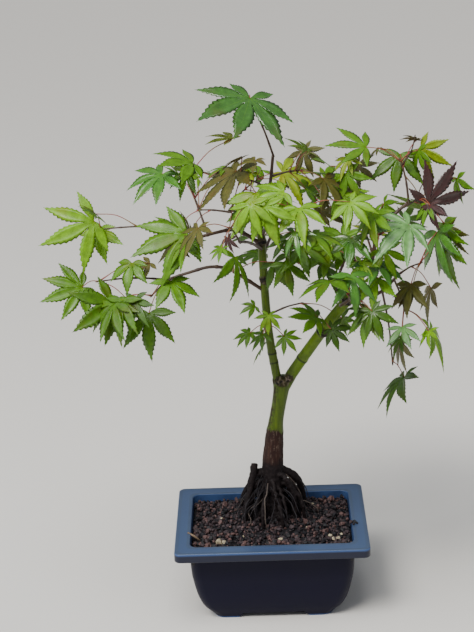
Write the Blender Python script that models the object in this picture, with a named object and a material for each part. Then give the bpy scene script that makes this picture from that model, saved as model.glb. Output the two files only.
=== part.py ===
"""Maple bonsai standing in its shallow training pot.

Metres, +Z up, seen from the front along +Y. The pot stands on the floor at Z = 0. The tree is
grown by a seeded rule: limbs first, then the stems of the leaf masses, then their leaves, and
each new piece is kept clear of all that has grown before it.
"""

import math
import random

import bmesh
import bpy
from mathutils import Vector
from mathutils.bvhtree import BVHTree

# Pot
POT_WIDTH = 0.205
POT_DEPTH = 0.155
POT_HEIGHT = 0.092
RIM_WIDTH = 0.0158
LIP_HEIGHT = 0.0105
LIP_WALL = 0.0028
POT_WALL = 0.0026
FOOT_HEIGHT = 0.006
FOOT_WIDTH = 0.026
FOOT_DEPTH = 0.022
FLOOR_TOP = 0.0088
# Outer wall from the foot up: height, how far in from the rim's edge at the ends and at the sides
POT_OUTSIDE = (
    (0.0000, 0.0390, 0.0268),
    (0.0055, 0.0350, 0.0250),
    (0.0130, 0.0282, 0.0222),
    (0.0230, 0.0234, 0.0196),
    (0.0340, 0.0202, 0.0178),
    (0.0460, 0.0178, 0.0166),
    (0.0570, 0.0162, 0.0156),
    (0.0890, 0.0146, 0.0142),
)

# Soil
GAP = 0.0003
SOIL_EDGE = 0.0815
GROUND = 0.0895
MOUND_CENTRE = (0.003, 0.013)
MOUND_RADII = (0.049, 0.041)

# Trunk, leader and first bough: radii are half the measured widths
TRUNK_FOOT = (0.0020, 0.0180)
TRUNK_SIDES = 10
# Height, sideways place of the axis, radius, how much wider than deep
TRUNK_RINGS = (
    (0.0850, 0.0022, 0.0215, 1.00),
    (0.0980, 0.0024, 0.0178, 1.00),
    (0.1140, 0.0028, 0.0142, 1.00),
    (0.1320, 0.0032, 0.0120, 1.00),
    (0.1480, 0.0036, 0.0113, 1.00),
    (0.1680, 0.0052, 0.0103, 1.00),
    (0.1870, 0.0071, 0.0091, 1.00),
    (0.1990, 0.0086, 0.0080, 1.00),
    (0.2180, 0.0122, 0.0078, 1.00),
    (0.2350, 0.0153, 0.0082, 1.06),
    (0.2470, 0.0172, 0.0086, 1.34),
)
FORK_SPREAD = 0.0061
FLARE_LOBES = 5
FLARE_DEPTH = 0.16
FLARE_TOP = 0.135

# Exposed roots
ROOT_COUNT = 10
ROOT_SIDES = 5
ROOT_RADII = (0.0042, 0.0024)
ROOT_REACH = (0.024, 0.037)
ROOT_START = (0.112, 0.134)
ROOT_SEED = 11

LIMB_SIDES = 8
BOUGH_SIDES = 6
TWIG_SIDES = 3
STEM_RADII = (0.0017, 0.0013)
TWIG_STEP = 0.022
# How far down its host a stem may start where another one has the place, as a share of the host
STEM_SLIDES = (0.0, 0.05, 0.10, 0.15, 0.20, 0.25)

# Leaves: the length is that of the middle lobe
LEAF_HALF_THICKNESS = 0.0011
LEAF_NOTCH = 0.34
LOBE_HALF_WIDTH = 0.15
LOBE_SHOULDER = 0.52
PETIOLE_RADIUS = 0.0008
PETIOLE_SHORT_OF_BLADE = 0.0035
# Leaves along a stem: share of its length, turn about it in degrees, size
LEAF_PLACES = (
    (0.97, 190, 1.00),
    (0.97, 10, 1.00),
    (0.98, 90, 0.90),
    (0.56, 250, 0.90),
    (0.56, 70, 0.90),
)
# Angle of each lobe from the middle one, and its length as a share
LEAF_PLANS = {
    5: ((0, 1.0), (43, 0.9), (92, 0.56)),
    7: ((0, 1.0), (38, 0.93), (77, 0.74), (122, 0.42)),
}
SEVEN_LOBED_SHARE = 0.4
LIGHT = Vector((0.05, -0.62, 0.78)).normalized()
CLEARANCE = 0.0005
# How near a limb or a stem comes to its host, and the steps in which it is brought there
SEAT = 0.00035
SEAT_STEPS = 16
MASS_SLACK = 0.022
TRIES = 22

# Limbs after the trunk: name, host, place along the host, bend points, tip, first and last radius
LIMBS = (
    ("leader", "trunk", "fork_left", ((0.0042, 0.018, 0.312),),
     (-0.0010, 0.018, 0.412), 0.0047, 0.0043),
    ("right_bough", "trunk", "fork_right", ((0.0560, 0.004, 0.2985), (0.0901, -0.005, 0.3446)),
     (0.1063, -0.008, 0.3506), 0.0052, 0.0044),
    ("upper_left_bough", "leader", 0.93, ((-0.030, 0.004, 0.418),),
     (-0.0730, -0.010, 0.4130), 0.0022, 0.0015),
    ("low_left_bough", "leader", 0.68, ((-0.045, 0.007, 0.378),),
     (-0.0980, 0.000, 0.3685), 0.0020, 0.0014),
    ("top_bough", "leader", 1.00, ((0.0085, 0.020, 0.452),),
     (0.0135, 0.020, 0.4900), 0.0022, 0.0015),
    ("inner_right_bough", "leader", 0.70, ((0.012, 0.004, 0.374),),
     (0.0220, -0.006, 0.3840), 0.0017, 0.0013),
    ("upper_right_bough", "right_bough", 1.00, ((0.1105, -0.012, 0.385), (0.1200, -0.006, 0.416)),
     (0.1480, 0.006, 0.4400), 0.0025, 0.0015),
    ("outer_right_bough", "right_bough", 0.80, ((0.1150, -0.026, 0.3540),),
     (0.1360, -0.020, 0.3720), 0.0020, 0.0015),
    ("front_bough", "leader", 0.97, ((0.008, -0.012, 0.428),),
     (0.0180, -0.036, 0.4360), 0.0019, 0.0014),
    ("front_left_bough", "leader", 0.90, ((-0.012, -0.016, 0.410),),
     (-0.0220, -0.044, 0.4200), 0.0018, 0.0013),
    ("front_right_bough", "right_bough", 0.80, ((0.076, -0.034, 0.346),),
     (0.0840, -0.058, 0.3600), 0.0018, 0.0013),
    ("back_bough", "leader", 0.86, ((0.006, 0.052, 0.388),),
     (0.0130, 0.082, 0.3900), 0.0021, 0.0014),
    ("back_left_bough", "leader", 0.99, ((-0.014, 0.048, 0.416),),
     (-0.0320, 0.076, 0.4180), 0.0020, 0.0014),
    ("back_right_bough", "right_bough", 0.62, ((0.076, 0.046, 0.338),),
     (0.0900, 0.080, 0.3620), 0.0020, 0.0014),
)

# Leaf masses: name, host limb, place along it, where the stem ends, most leaves, leaf length,
# how much its leaves hang, seed
MASSES = (
    ("apex", "top_bough", 1.00, (-0.0090, 0.012, 0.549), 1, 0.062, 0.85, 9),
    ("upper_middle", "top_bough", 0.72, (0.0410, 0.026, 0.472), 5, 0.046, 0.30, 2),
    ("upper_inner_left", "top_bough", 0.55, (-0.0200, -0.018, 0.478), 4, 0.048, 0.45, 3),
    ("upper_front", "front_bough", 1.00, (0.0340, -0.072, 0.458), 5, 0.052, 0.40, 4),
    ("left_top", "upper_left_bough", 0.80, (-0.0760, 0.030, 0.468), 5, 0.045, 0.30, 5),
    ("left_front", "upper_left_bough", 1.00, (-0.0860, -0.050, 0.424), 3, 0.058, 0.45, 6),
    ("far_left_upper", "upper_left_bough", 1.00, (-0.1660, 0.000, 0.424), 4, 0.051, 0.40, 7),
    ("far_left_lower", "low_left_bough", 1.00, (-0.1680, -0.016, 0.374), 5, 0.051, 0.40, 8),
    ("left_lower", "low_left_bough", 1.00, (-0.1120, -0.048, 0.368), 4, 0.049, 0.50, 9),
    ("inner_left", "low_left_bough", 0.45, (-0.0300, -0.018, 0.380), 2, 0.044, 0.60, 10),
    ("trunk_sprig", "leader", 0.42, (0.0010, -0.004, 0.318), 4, 0.027, 0.40, 11),
    ("inner_right", "inner_right_bough", 1.00, (0.0380, -0.028, 0.390), 3, 0.044, 0.60, 12),
    ("inner_low_right", "leader", 0.55, (0.0380, 0.000, 0.338), 3, 0.034, 0.40, 13),
    ("upper_right_inner", "upper_right_bough", 0.42, (0.0900, 0.030, 0.468), 5, 0.044, 0.30, 14),
    ("right_top", "upper_right_bough", 1.00, (0.1420, 0.022, 0.480), 5, 0.043, 0.35, 15),
    ("far_right", "upper_right_bough", 1.00, (0.1600, -0.002, 0.446), 5, 0.045, 0.50, 16),
    ("right_front", "upper_right_bough", 0.60, (0.1160, -0.054, 0.426), 5, 0.053, 0.50, 17),
    ("right_middle", "right_bough", 0.93, (0.0920, -0.044, 0.396), 5, 0.048, 0.45, 18),
    ("far_right_low", "outer_right_bough", 1.00, (0.1580, -0.026, 0.386), 5, 0.046, 0.70, 19),
    ("lower_right", "outer_right_bough", 0.90, (0.1400, -0.044, 0.344), 3, 0.048, 0.55, 20),
    ("lowest_right", "outer_right_bough", 0.60, (0.1310, -0.010, 0.272), 2, 0.045, 0.90, 21),
    ("front_left", "front_left_bough", 1.00, (-0.0300, -0.080, 0.446), 2, 0.048, 0.50, 22),
    ("front_right", "front_right_bough", 1.00, (0.0820, -0.094, 0.378), 4, 0.046, 0.45, 23),
    ("back_high", "back_left_bough", 1.00, (-0.0020, 0.108, 0.442), 5, 0.046, 0.30, 24),
    ("back_left", "back_left_bough", 1.00, (-0.0680, 0.106, 0.410), 4, 0.047, 0.35, 25),
    ("back_low", "back_bough", 1.00, (0.0180, 0.128, 0.372), 4, 0.047, 0.45, 26),
    ("back_middle", "back_bough", 0.80, (0.0580, 0.096, 0.420), 4, 0.046, 0.35, 27),
    ("back_right", "back_right_bough", 1.00, (0.1240, 0.114, 0.386), 5, 0.047, 0.40, 28),
)

POT_COLOUR = (0.022, 0.038, 0.075)
SOIL_COLOUR = (0.060, 0.026, 0.017)
BARK_COLOUR = (0.075, 0.085, 0.018)
TWIG_COLOUR = (0.030, 0.018, 0.012)
LEAF_COLOUR = (0.110, 0.270, 0.030)
UP = Vector((0.0, 0.0, 1.0))


def clear_scene():
    for obj in list(bpy.data.objects):
        bpy.data.objects.remove(obj, do_unlink=True)


def make_material(name, colour, roughness):
    material = bpy.data.materials.new(name)
    material.use_nodes = True
    shader = material.node_tree.nodes["Principled BSDF"]
    shader.inputs["Base Color"].default_value = (*colour, 1.0)
    shader.inputs["Roughness"].default_value = roughness
    shader.inputs["Metallic"].default_value = 0.0
    return material


def make_object(name, shape, collection=None):
    points, faces = shape
    mesh = bpy.data.meshes.new(name)
    mesh.from_pydata([tuple(p) for p in points], [], faces)
    shell = bmesh.new()
    shell.from_mesh(mesh)
    bmesh.ops.recalc_face_normals(shell, faces=shell.faces)
    shell.to_mesh(mesh)
    shell.free()
    obj = bpy.data.objects.new(name, mesh)
    (collection or bpy.context.scene.collection).objects.link(obj)
    return obj


def finish_object(obj, parent, colour, roughness):
    obj.data.materials.clear()
    obj.data.materials.append(make_material(obj.name, colour, roughness))
    obj.parent = parent


# Rounded rectangles and lofts


def rounded_rectangle(half_x, half_y, corner, steps, height):
    points = []
    for quarter, (sign_x, sign_y) in enumerate(((1, 1), (-1, 1), (-1, -1), (1, -1))):
        centre_x = sign_x * (half_x - corner)
        centre_y = sign_y * (half_y - corner)
        for step in range(steps + 1):
            angle = math.radians(90) * (quarter + step / steps)
            x = centre_x + corner * math.cos(angle)
            y = centre_y + corner * math.sin(angle)
            points.append(Vector((x, y, height)))
    return points


def pot_ring(height, in_x, in_y, corner, steps=3):
    half_x = POT_WIDTH / 2 - in_x
    half_y = POT_DEPTH / 2 - in_y
    return rounded_rectangle(half_x, half_y, corner, steps, height)


def loft(rings, closed_start=True, closed_end=True):
    """Joins rings of the same count, which run anticlockwise seen from the way they climb."""
    count = len(rings[0])
    points = [p for ring in rings for p in ring]
    faces = []
    for level in range(len(rings) - 1):
        low = level * count
        high = low + count
        for i in range(count):
            j = (i + 1) % count
            faces.append((low + i, low + j, high + j))
            faces.append((low + i, high + j, high + i))
    if closed_start:
        faces.append(tuple(reversed(range(count))))
    if closed_end:
        last = (len(rings) - 1) * count
        faces.append(tuple(range(last, last + count)))
    return points, faces


def inside_profile():
    """The cavity's wall from the rim down to the floor, a wall's thickness inside the outer one."""
    rows = [(height, in_x + POT_WALL, in_y + POT_WALL) for height, in_x, in_y in POT_OUTSIDE]
    rows = [row for row in rows if FLOOR_TOP + 0.003 < row[0] < 0.080]
    low = rows[0]
    floor = (FLOOR_TOP, low[1] + 0.0040, low[2] + 0.0030)
    return list(reversed(rows)) + [floor]


def build_pot():
    rings = [pot_ring(height, in_x, in_y, 0.012) for height, in_x, in_y in POT_OUTSIDE]
    under = POT_HEIGHT - 0.003
    skirt = POT_HEIGHT - LIP_HEIGHT
    rings.append(pot_ring(under, LIP_WALL + 0.0004, LIP_WALL + 0.0004, 0.0040))
    rings.append(pot_ring(skirt, LIP_WALL, LIP_WALL, 0.0042))
    rings.append(pot_ring(skirt, 0.0006, 0.0006, 0.0062))
    rings.append(pot_ring(skirt + 0.0012, 0.0, 0.0, 0.0066))
    rings.append(pot_ring(POT_HEIGHT - 0.0014, 0.0, 0.0, 0.0066))
    rings.append(pot_ring(POT_HEIGHT, 0.0013, 0.0013, 0.0058))
    rings.append(pot_ring(POT_HEIGHT, RIM_WIDTH, RIM_WIDTH, 0.0085))
    rings.append(pot_ring(POT_HEIGHT - 0.0012, RIM_WIDTH + 0.0010, RIM_WIDTH + 0.0010, 0.0085))
    for height, in_x, in_y in inside_profile():
        rings.append(pot_ring(height, in_x, in_y, 0.0100))
    pot = make_object("pot", loft(rings))
    foot_half_x = POT_WIDTH / 2 - POT_OUTSIDE[0][1]
    foot_half_y = POT_DEPTH / 2 - POT_OUTSIDE[0][2]
    for name, half, reach, along_x in (
        ("foot_gap_front", foot_half_x - FOOT_WIDTH, POT_DEPTH, False),
        ("foot_gap_side", foot_half_y - FOOT_DEPTH, POT_WIDTH, True),
    ):
        cut_foot_gap(pot, name, half, reach, along_x)
    return pot


def cut_foot_gap(pot, name, half, reach, along_x):
    """Cuts the shallow arch between two feet right through under the floor."""
    outline = (
        (-half - 0.0015, -0.004),
        (half + 0.0015, -0.004),
        (half, 0.001),
        (half - 0.0045, FOOT_HEIGHT),
        (-half + 0.0045, FOOT_HEIGHT),
        (-half, 0.001),
    )
    rings = []
    for end in (-reach, reach):
        if along_x:
            rings.append([Vector((end, across, height)) for across, height in outline])
        else:
            rings.append([Vector((across, -end, height)) for across, height in outline])
    cutter = make_object(name, loft(rings))
    cutter.hide_render = True
    cutter.display_type = "WIRE"
    cutter.parent = pot
    cut = pot.modifiers.new(name, "BOOLEAN")
    cut.operation = "DIFFERENCE"
    cut.solver = "EXACT"
    cut.object = cutter


def build_soil():
    """Fills the cavity and rises to a low mound, level where the trunk stands on it."""
    steps = 3
    rings = []
    wall = [(height, in_x + 0.0006, in_y + 0.0006) for height, in_x, in_y in inside_profile()]
    floor_height, floor_x, floor_y = wall[-1]
    rings.append(pot_ring(floor_height + GAP, floor_x + 0.0010, floor_y + 0.0010, 0.0094, steps))
    for height, in_x, in_y in reversed(wall[:-1]):
        rings.append(pot_ring(height, in_x, in_y, 0.0094, steps))
    top_x, top_y = wall[0][1], wall[0][2]
    edge = pot_ring(SOIL_EDGE, top_x, top_y, 0.0094, steps)
    rings.append(edge)
    rng = random.Random(5)
    for share, rise in ((0.30, 0.30), (0.62, 0.72), (1.0, 1.0)):
        ring = []
        for point in edge:
            angle = math.atan2(point.y, point.x)
            inner_x = MOUND_CENTRE[0] + MOUND_RADII[0] * math.cos(angle)
            inner_y = MOUND_CENTRE[1] + MOUND_RADII[1] * math.sin(angle)
            wobble = rng.uniform(-0.0005, 0.0005) if share < 1.0 else 0.0
            x = point.x + (inner_x - point.x) * share
            y = point.y + (inner_y - point.y) * share
            z = SOIL_EDGE + (GROUND - SOIL_EDGE) * rise + wobble
            ring.append(Vector((x, y, z)))
        rings.append(ring)
    return make_object("soil", loft(rings))


# Curves and tubes


def smooth_path(keys, count):
    """Points along a smooth curve through the keys."""
    keys = [Vector(k) for k in keys]
    ends = [keys[0] * 2 - keys[1]] + keys + [keys[-1] * 2 - keys[-2]]
    points = []
    spans = len(keys) - 1
    for i in range(count):
        at = i / (count - 1) * spans
        span = min(int(at), spans - 1)
        t = at - span
        a, b, c, d = ends[span : span + 4]
        points.append(
            0.5
            * (
                2 * b
                + (c - a) * t
                + (2 * a - 5 * b + 4 * c - d) * t * t
                + (3 * b - a - 3 * c + d) * t * t * t
            )
        )
    return points


def place_on(path, share):
    """The point and the direction at this share of a path's points."""
    at = share * (len(path) - 1)
    i = min(int(at), len(path) - 2)
    return path[i].lerp(path[i + 1], at - i), (path[i + 1] - path[i]).normalized()


def past_tip(tip, along, aim, radius):
    """Where a limb that heads for aim starts, so that its first ring just clears its host's tip."""
    slant = math.sqrt(max(0.0, 1 - aim.dot(along) ** 2))
    return tip + along * (GAP * 1.3 + radius * slant)


def seat(make_path, start, aim, radius, sides, host):
    """Slides a limb's start back along its first direction until it nearly meets its host."""
    for _ in range(SEAT_STEPS):
        ring = tube(make_path(start)[:2], (radius, radius), sides)[0][:sides]
        edge = []
        for a, b in zip(ring, ring[1:] + ring[:1]):
            edge += [a, a.lerp(b, 0.25), a.lerp(b, 0.5), a.lerp(b, 0.75)]
        start = start - aim * (min(host.find_nearest(p)[3] for p in edge) - SEAT)
    return make_path(start)


def tube(path, radii, sides, start_normal=None):
    """A closed tube. The first ring lies square to start_normal where that is given."""
    count = len(path)
    tangents = []
    for i in range(count):
        tangents.append((path[min(i + 1, count - 1)] - path[max(i - 1, 0)]).normalized())
    side = tangents[0].cross(Vector((0.13, 0.97, 0.21)))
    side.normalize()
    rings = []
    for i in range(count):
        tangent = tangents[i]
        side = (side - tangent * side.dot(tangent)).normalized()
        other = tangent.cross(side)
        ring = []
        for k in range(sides):
            angle = 2 * math.pi * k / sides
            point = (side * math.cos(angle) + other * math.sin(angle)) * radii[i]
            if i == 0 and start_normal is not None:
                point -= tangent * (point.dot(start_normal) / tangent.dot(start_normal))
            ring.append(path[i] + point)
        rings.append(ring)
    return loft(rings)


def taper(first, last, count):
    return [first + (last - first) * i / (count - 1) for i in range(count)]


# Trunk with its exposed roots


def trunk_path():
    return [Vector((x, TRUNK_FOOT[1], height)) for height, x, radius, wide in TRUNK_RINGS]


def flared(height, angle, radius):
    """The trunk's radius in one direction, lobed towards the roots."""
    swell = max(0.0, (FLARE_TOP - height) / (FLARE_TOP - GROUND))
    return radius * (1 + FLARE_DEPTH * swell * math.cos(FLARE_LOBES * angle + 0.6))


def build_trunk():
    rings = []
    for height, x, radius, wide in TRUNK_RINGS:
        ring = []
        for k in range(TRUNK_SIDES):
            angle = 2 * math.pi * k / TRUNK_SIDES
            reach = flared(height, angle, radius)
            across = x + reach * wide * math.cos(angle)
            ring.append(Vector((across, TRUNK_FOOT[1] + reach * math.sin(angle), height)))
        rings.append(ring)
    roots = []
    rng = random.Random(ROOT_SEED)
    for i in range(ROOT_COUNT):
        heading = 2 * math.pi * (i + rng.uniform(-0.28, 0.28)) / ROOT_COUNT
        reach = rng.uniform(*ROOT_REACH)
        start = rng.uniform(*ROOT_START)
        roots.append(root_tube(heading, reach, start, rng.uniform(0.002, 0.010)))
    # The thick root that stands off to the right in an arch, and the stub left of a cut one
    roots.append(root_tube(math.radians(4), 0.0350, 0.1380, 0.022, 1.0))
    foot = Vector((*TRUNK_FOOT, 0.0))
    stub = smooth_path((foot + Vector((0.0, 0.0, 0.132)), foot + Vector((-0.0205, -0.004, 0.1440))), 3)
    roots.append(tube(stub, (0.0050, 0.0044, 0.0036), ROOT_SIDES))
    trunk = fuse("trunk", [loft(rings)] + roots)
    block = rounded_rectangle(0.06, 0.06, 0.01, 1, 0.0)
    low = [p + Vector((0.0, TRUNK_FOOT[1], 0.05)) for p in block]
    high = [p + Vector((0.0, TRUNK_FOOT[1], GROUND + GAP)) for p in block]
    below = make_object("below_ground", loft([low, high]))
    cut = trunk.modifiers.new("ground", "BOOLEAN")
    cut.operation = "DIFFERENCE"
    cut.solver = "EXACT"
    cut.object = below
    apply_modifiers(trunk)
    bpy.data.objects.remove(below, do_unlink=True)
    return trunk


def root_tube(heading, reach, start, arch, thick=0.9):
    """A root that leaves the flare, arches over and goes down into the soil."""
    out = Vector((math.cos(heading), math.sin(heading), 0.0))
    foot = Vector((*TRUNK_FOOT, 0.0))
    keys = (
        foot + out * 0.004 + UP * start,
        foot + out * (reach * 0.62) + UP * (start - 0.010 + arch * 0.5),
        foot + out * (reach * 0.95) + UP * ((start + GROUND) / 2 - 0.004 + arch * 0.3),
        foot + out * (reach * 1.05) + UP * (GROUND - 0.006),
    )
    path = smooth_path(keys, 5)
    radii = [r * thick for r in taper(ROOT_RADII[0], ROOT_RADII[1], len(path))]
    return tube(path, radii, ROOT_SIDES)


# Joining


def apply_modifiers(obj):
    bpy.context.view_layer.update()
    graph = bpy.context.evaluated_depsgraph_get()
    mesh = bpy.data.meshes.new_from_object(obj.evaluated_get(graph))
    old = obj.data
    obj.modifiers.clear()
    obj.data = mesh
    bpy.data.meshes.remove(old)


def fuse(name, shapes):
    """One object from shapes that run into each other, by a union on a collection.

    The exact solver comes first. Where it leaves an edge that isn't shared by two faces, the
    manifold one does the union again.
    """
    for solver in ("EXACT", "MANIFOLD"):
        base = make_object(name, shapes[0])
        helpers = bpy.data.collections.new(name + "_pieces")
        bpy.context.scene.collection.children.link(helpers)
        for i, shape in enumerate(shapes[1:]):
            make_object(f"{name}_piece_{i}", shape, helpers)
        union = base.modifiers.new("union", "BOOLEAN")
        union.operation = "UNION"
        union.operand_type = "COLLECTION"
        union.collection = helpers
        union.solver = solver
        apply_modifiers(base)
        for obj in list(helpers.objects):
            bpy.data.objects.remove(obj, do_unlink=True)
        bpy.data.collections.remove(helpers)
        if is_closed(base.data):
            break
        if solver == "EXACT":
            bpy.data.objects.remove(base, do_unlink=True)
    keep_largest_body(base.data)
    return base


def is_closed(mesh):
    shell = bmesh.new()
    shell.from_mesh(mesh)
    closed = all(edge.is_manifold for edge in shell.edges)
    shell.free()
    return closed


def keep_largest_body(mesh):
    """Drops loose scraps and the walls of sealed hollows, which a union can leave."""
    owner = list(range(len(mesh.vertices)))

    def root_of(i):
        while owner[i] != i:
            owner[i] = owner[owner[i]]
            i = owner[i]
        return i

    for a, b in (tuple(edge.vertices) for edge in mesh.edges):
        owner[root_of(a)] = root_of(b)
    bodies = {}
    for i in range(len(mesh.vertices)):
        bodies.setdefault(root_of(i), set()).add(i)
    if len(bodies) < 2:
        return
    kept = max(bodies.values(), key=len)
    order = {old: new for new, old in enumerate(sorted(kept))}
    points = [mesh.vertices[i].co.copy() for i in sorted(kept)]
    faces = [tuple(order[v] for v in p.vertices) for p in mesh.polygons if p.vertices[0] in kept]
    mesh.clear_geometry()
    mesh.from_pydata(points, [], faces)
    mesh.update()


# Growth


class Field:
    """All that has grown so far, for keeping later pieces clear of it."""

    def __init__(self):
        self.points = []
        self.faces = []
        self.tree = None

    def add(self, shape):
        points, faces = shape
        base = len(self.points)
        self.points.extend(points)
        self.faces.extend(tuple(base + i for i in face) for face in faces)
        self.tree = None

    def touches(self, shape):
        if self.tree is None:
            self.tree = BVHTree.FromPolygons(self.points, self.faces)
        return bool(self.tree.overlap(BVHTree.FromPolygons(*shape)))


def leaf_outline(base, heading, normal, length, plan, fold, spread):
    """The pointed lobes in order, from one side of the petiole round to the other."""
    across = normal.cross(heading)
    lobes = LEAF_PLANS[plan]
    order = [(-angle, size) for angle, size in reversed(lobes[1:])] + list(lobes)

    def at(radius, angle, lift):
        turn = math.radians(angle)
        flat = heading * math.cos(turn) + across * math.sin(turn)
        sink = fold * radius * radius / length
        return base + flat * (radius * spread) + normal * (lift - sink)

    outline = []
    for i, (angle, size) in enumerate(order):
        tip = length * size
        shoulder = tip * LOBE_SHOULDER
        width = length * LOBE_HALF_WIDTH * (0.2 + 0.8 * size)
        swing = math.degrees(math.atan2(width, shoulder))
        near = math.hypot(shoulder, width)
        if i > 0:
            before_angle, before_size = order[i - 1]
            notch = LEAF_NOTCH * length * min(size, before_size)
            outline.append(at(notch, (angle + before_angle) / 2, length * 0.012))
        outline.append(at(near, angle - swing, -length * 0.010))
        outline.append(at(tip, angle, 0.0))
        outline.append(at(near, angle + swing, -length * 0.010))
    return outline


def leaf(stalk, heading, normal, length, plan, fold, more=0.0):
    """One closed solid: a three-sided petiole that opens into a palmate blade.

    The blade is a lens, thickest where its lobes meet. more thickens it all over.
    """
    base = stalk[-1]
    half = LEAF_HALF_THICKNESS + more
    radius = PETIOLE_RADIUS + more
    outline = leaf_outline(base, heading, normal, length, plan, fold, 1 + more * 60)
    path = [*stalk[:-1], base - heading * PETIOLE_SHORT_OF_BLADE]
    points = []
    up = normal
    tangents = [(path[i + 1] - path[i]).normalized() for i in range(len(path) - 1)] + [heading]
    for centre, tangent in reversed(list(zip(path, tangents))):
        up = (up - tangent * up.dot(tangent)).normalized()
        left = up.cross(tangent)
        points.append(centre + up * radius)
        points.append(centre + (left * 0.866 - up * 0.5) * radius)
        points.append(centre + (left * -0.866 - up * 0.5) * radius)
    faces = []
    for ring in range(0, 3 * (len(path) - 1), 3):
        for i in range(3):
            j = (i + 1) % 3
            faces.append((ring + i, ring + j, ring + 3 + j))
            faces.append((ring + i, ring + 3 + j, ring + 3 + i))
    end = 3 * (len(path) - 1)
    faces.append((end, end + 1, end + 2))
    first = len(points)
    last = first + len(outline) - 1
    top = last + 1
    under = last + 2
    points += outline + [base + normal * half, base - normal * half]
    for i in range(first, last):
        faces.append((i, i + 1, top))
        faces.append((i + 1, i, under))
    faces += [(0, first, top), (0, top, last), (0, last, 1), (1, last, under)]
    faces += [(1, under, 2), (2, under, first), (2, first, 0)]
    return points, faces


class Mass:
    def __init__(self, row, limbs, slide):
        self.name, self.host, share, tip, self.most_leaves, self.leaf_length, self.hang, seed = row
        self.share = share - slide
        self.tip = Vector(tip)
        self.rng = random.Random(seed * 101 + 7)
        self.radius = STEM_RADII[0]
        self.shapes = []
        self.leaves = []
        self.path = self.stem_path(*limbs[self.host])
        self.centre = self.path[0].lerp(self.tip, 0.75)

    def stem_path(self, path, radii):
        """From just clear of the host, in a shallow arc to the stem's tip."""
        anchor, along = place_on(path, self.share)
        host_radius = radii[0] + (radii[-1] - radii[0]) * self.share
        aim = (self.tip - anchor).normalized()
        if self.share >= 1.0:
            aim = (aim + along * 0.8).normalized()
            start = past_tip(anchor, along, aim, self.radius)
        else:
            sideways = (aim - along * aim.dot(along)).normalized()
            aim = (aim + sideways * 0.7).normalized()
            away = (host_radius + GAP + self.radius * 0.4) / max(0.5, aim.dot(sideways))
            start = anchor + aim * away
        host = BVHTree.FromPolygons(*tube(path, radii, sides_of(self.host)))
        return seat(lambda at: self.arc(at, aim), start, aim, self.radius, TWIG_SIDES, host)

    def arc(self, start, aim):
        length = (self.tip - start).length
        middle = start.lerp(self.tip, 0.45) + aim * (length * 0.07) + UP * (length * 0.05)
        count = max(3, round(length / TWIG_STEP) + 1)
        return smooth_path((start, middle, self.tip), count)


def in_space(mass, masses, points, blade_centre):
    """A mass keeps to the points that are nearer to its own centre than to another's."""
    own = (blade_centre - mass.centre).length
    if own > 0.088:
        return False
    for other in masses:
        if other is not mass and (blade_centre - other.centre).length + MASS_SLACK < own:
            return False
    return min(p.z for p in points) > GROUND + 0.02


def leaf_pose(mass, at, along, turn, tries_left):
    """Where a petiole and its blade would go, a little different on each try."""
    rng = mass.rng
    side = along.cross(UP)
    if side.length < 0.2:
        side = along.cross(Vector((0.0, 1.0, 0.0)))
    side.normalize()
    lift = side.cross(along).normalized()
    loose = 0.35 + 0.65 * (1 - tries_left / TRIES)
    angle = turn + rng.uniform(-0.5, 0.5) * loose * 2
    out = side * math.cos(angle) + lift * math.sin(angle) * 0.8
    lean = rng.uniform(0.35, 0.95)
    heading = (along * lean + out + UP * 0.15).normalized()
    reach = mass.leaf_length * rng.uniform(0.45, 0.80)
    base = at + heading * reach - UP * (reach * 0.10)
    middle = at.lerp(base, 0.5) + UP * (reach * 0.07)
    flat = Vector((heading.x, heading.y, 0.0)) + Vector((base.x - 0.01, base.y - 0.02, 0.0)) * 3.0
    flat.normalize()
    droop = rng.uniform(0.1, 0.5) + 0.9 * mass.hang
    normal = (UP * math.cos(droop) + flat * math.sin(droop)).normalized()
    pull = rng.uniform(0.35, 0.75)
    wild = Vector((rng.uniform(-1, 1), rng.uniform(-1, 1), rng.uniform(-0.5, 0.5))) * 0.22
    normal = (normal * (1 - pull) + LIGHT * pull + wild).normalized()
    point = flat * (1.1 - mass.hang) - UP * (mass.hang + rng.uniform(-0.3, 0.3))
    point = (point - normal * point.dot(normal)).normalized()
    return base, middle, point, normal


def grow_leaf(mass, masses, field, at, along, turn, size):
    rng = mass.rng
    plan = 7 if rng.random() < SEVEN_LOBED_SHARE else 5
    length = mass.leaf_length * size * rng.uniform(0.86, 1.10)
    for tries_left in range(TRIES, 0, -1):
        base, middle, heading, normal = leaf_pose(mass, at, along, turn, tries_left)
        fold = rng.uniform(0.04, 0.22)
        shape = leaf((at, middle, base), heading, normal, length, plan, fold)
        if not in_space(mass, masses, shape[0][9:], base + heading * (length * 0.4)):
            continue
        away = at + (middle - at).normalized() * (mass.radius + 0.0022)
        if field.touches(leaf((away, middle, base), heading, normal, length, plan, fold, CLEARANCE)):
            continue
        field.add(shape)
        mass.shapes.append(shape)
        mass.leaves.append(((at, middle, base), heading, normal, length, plan, fold))
        return True
    return False


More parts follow.
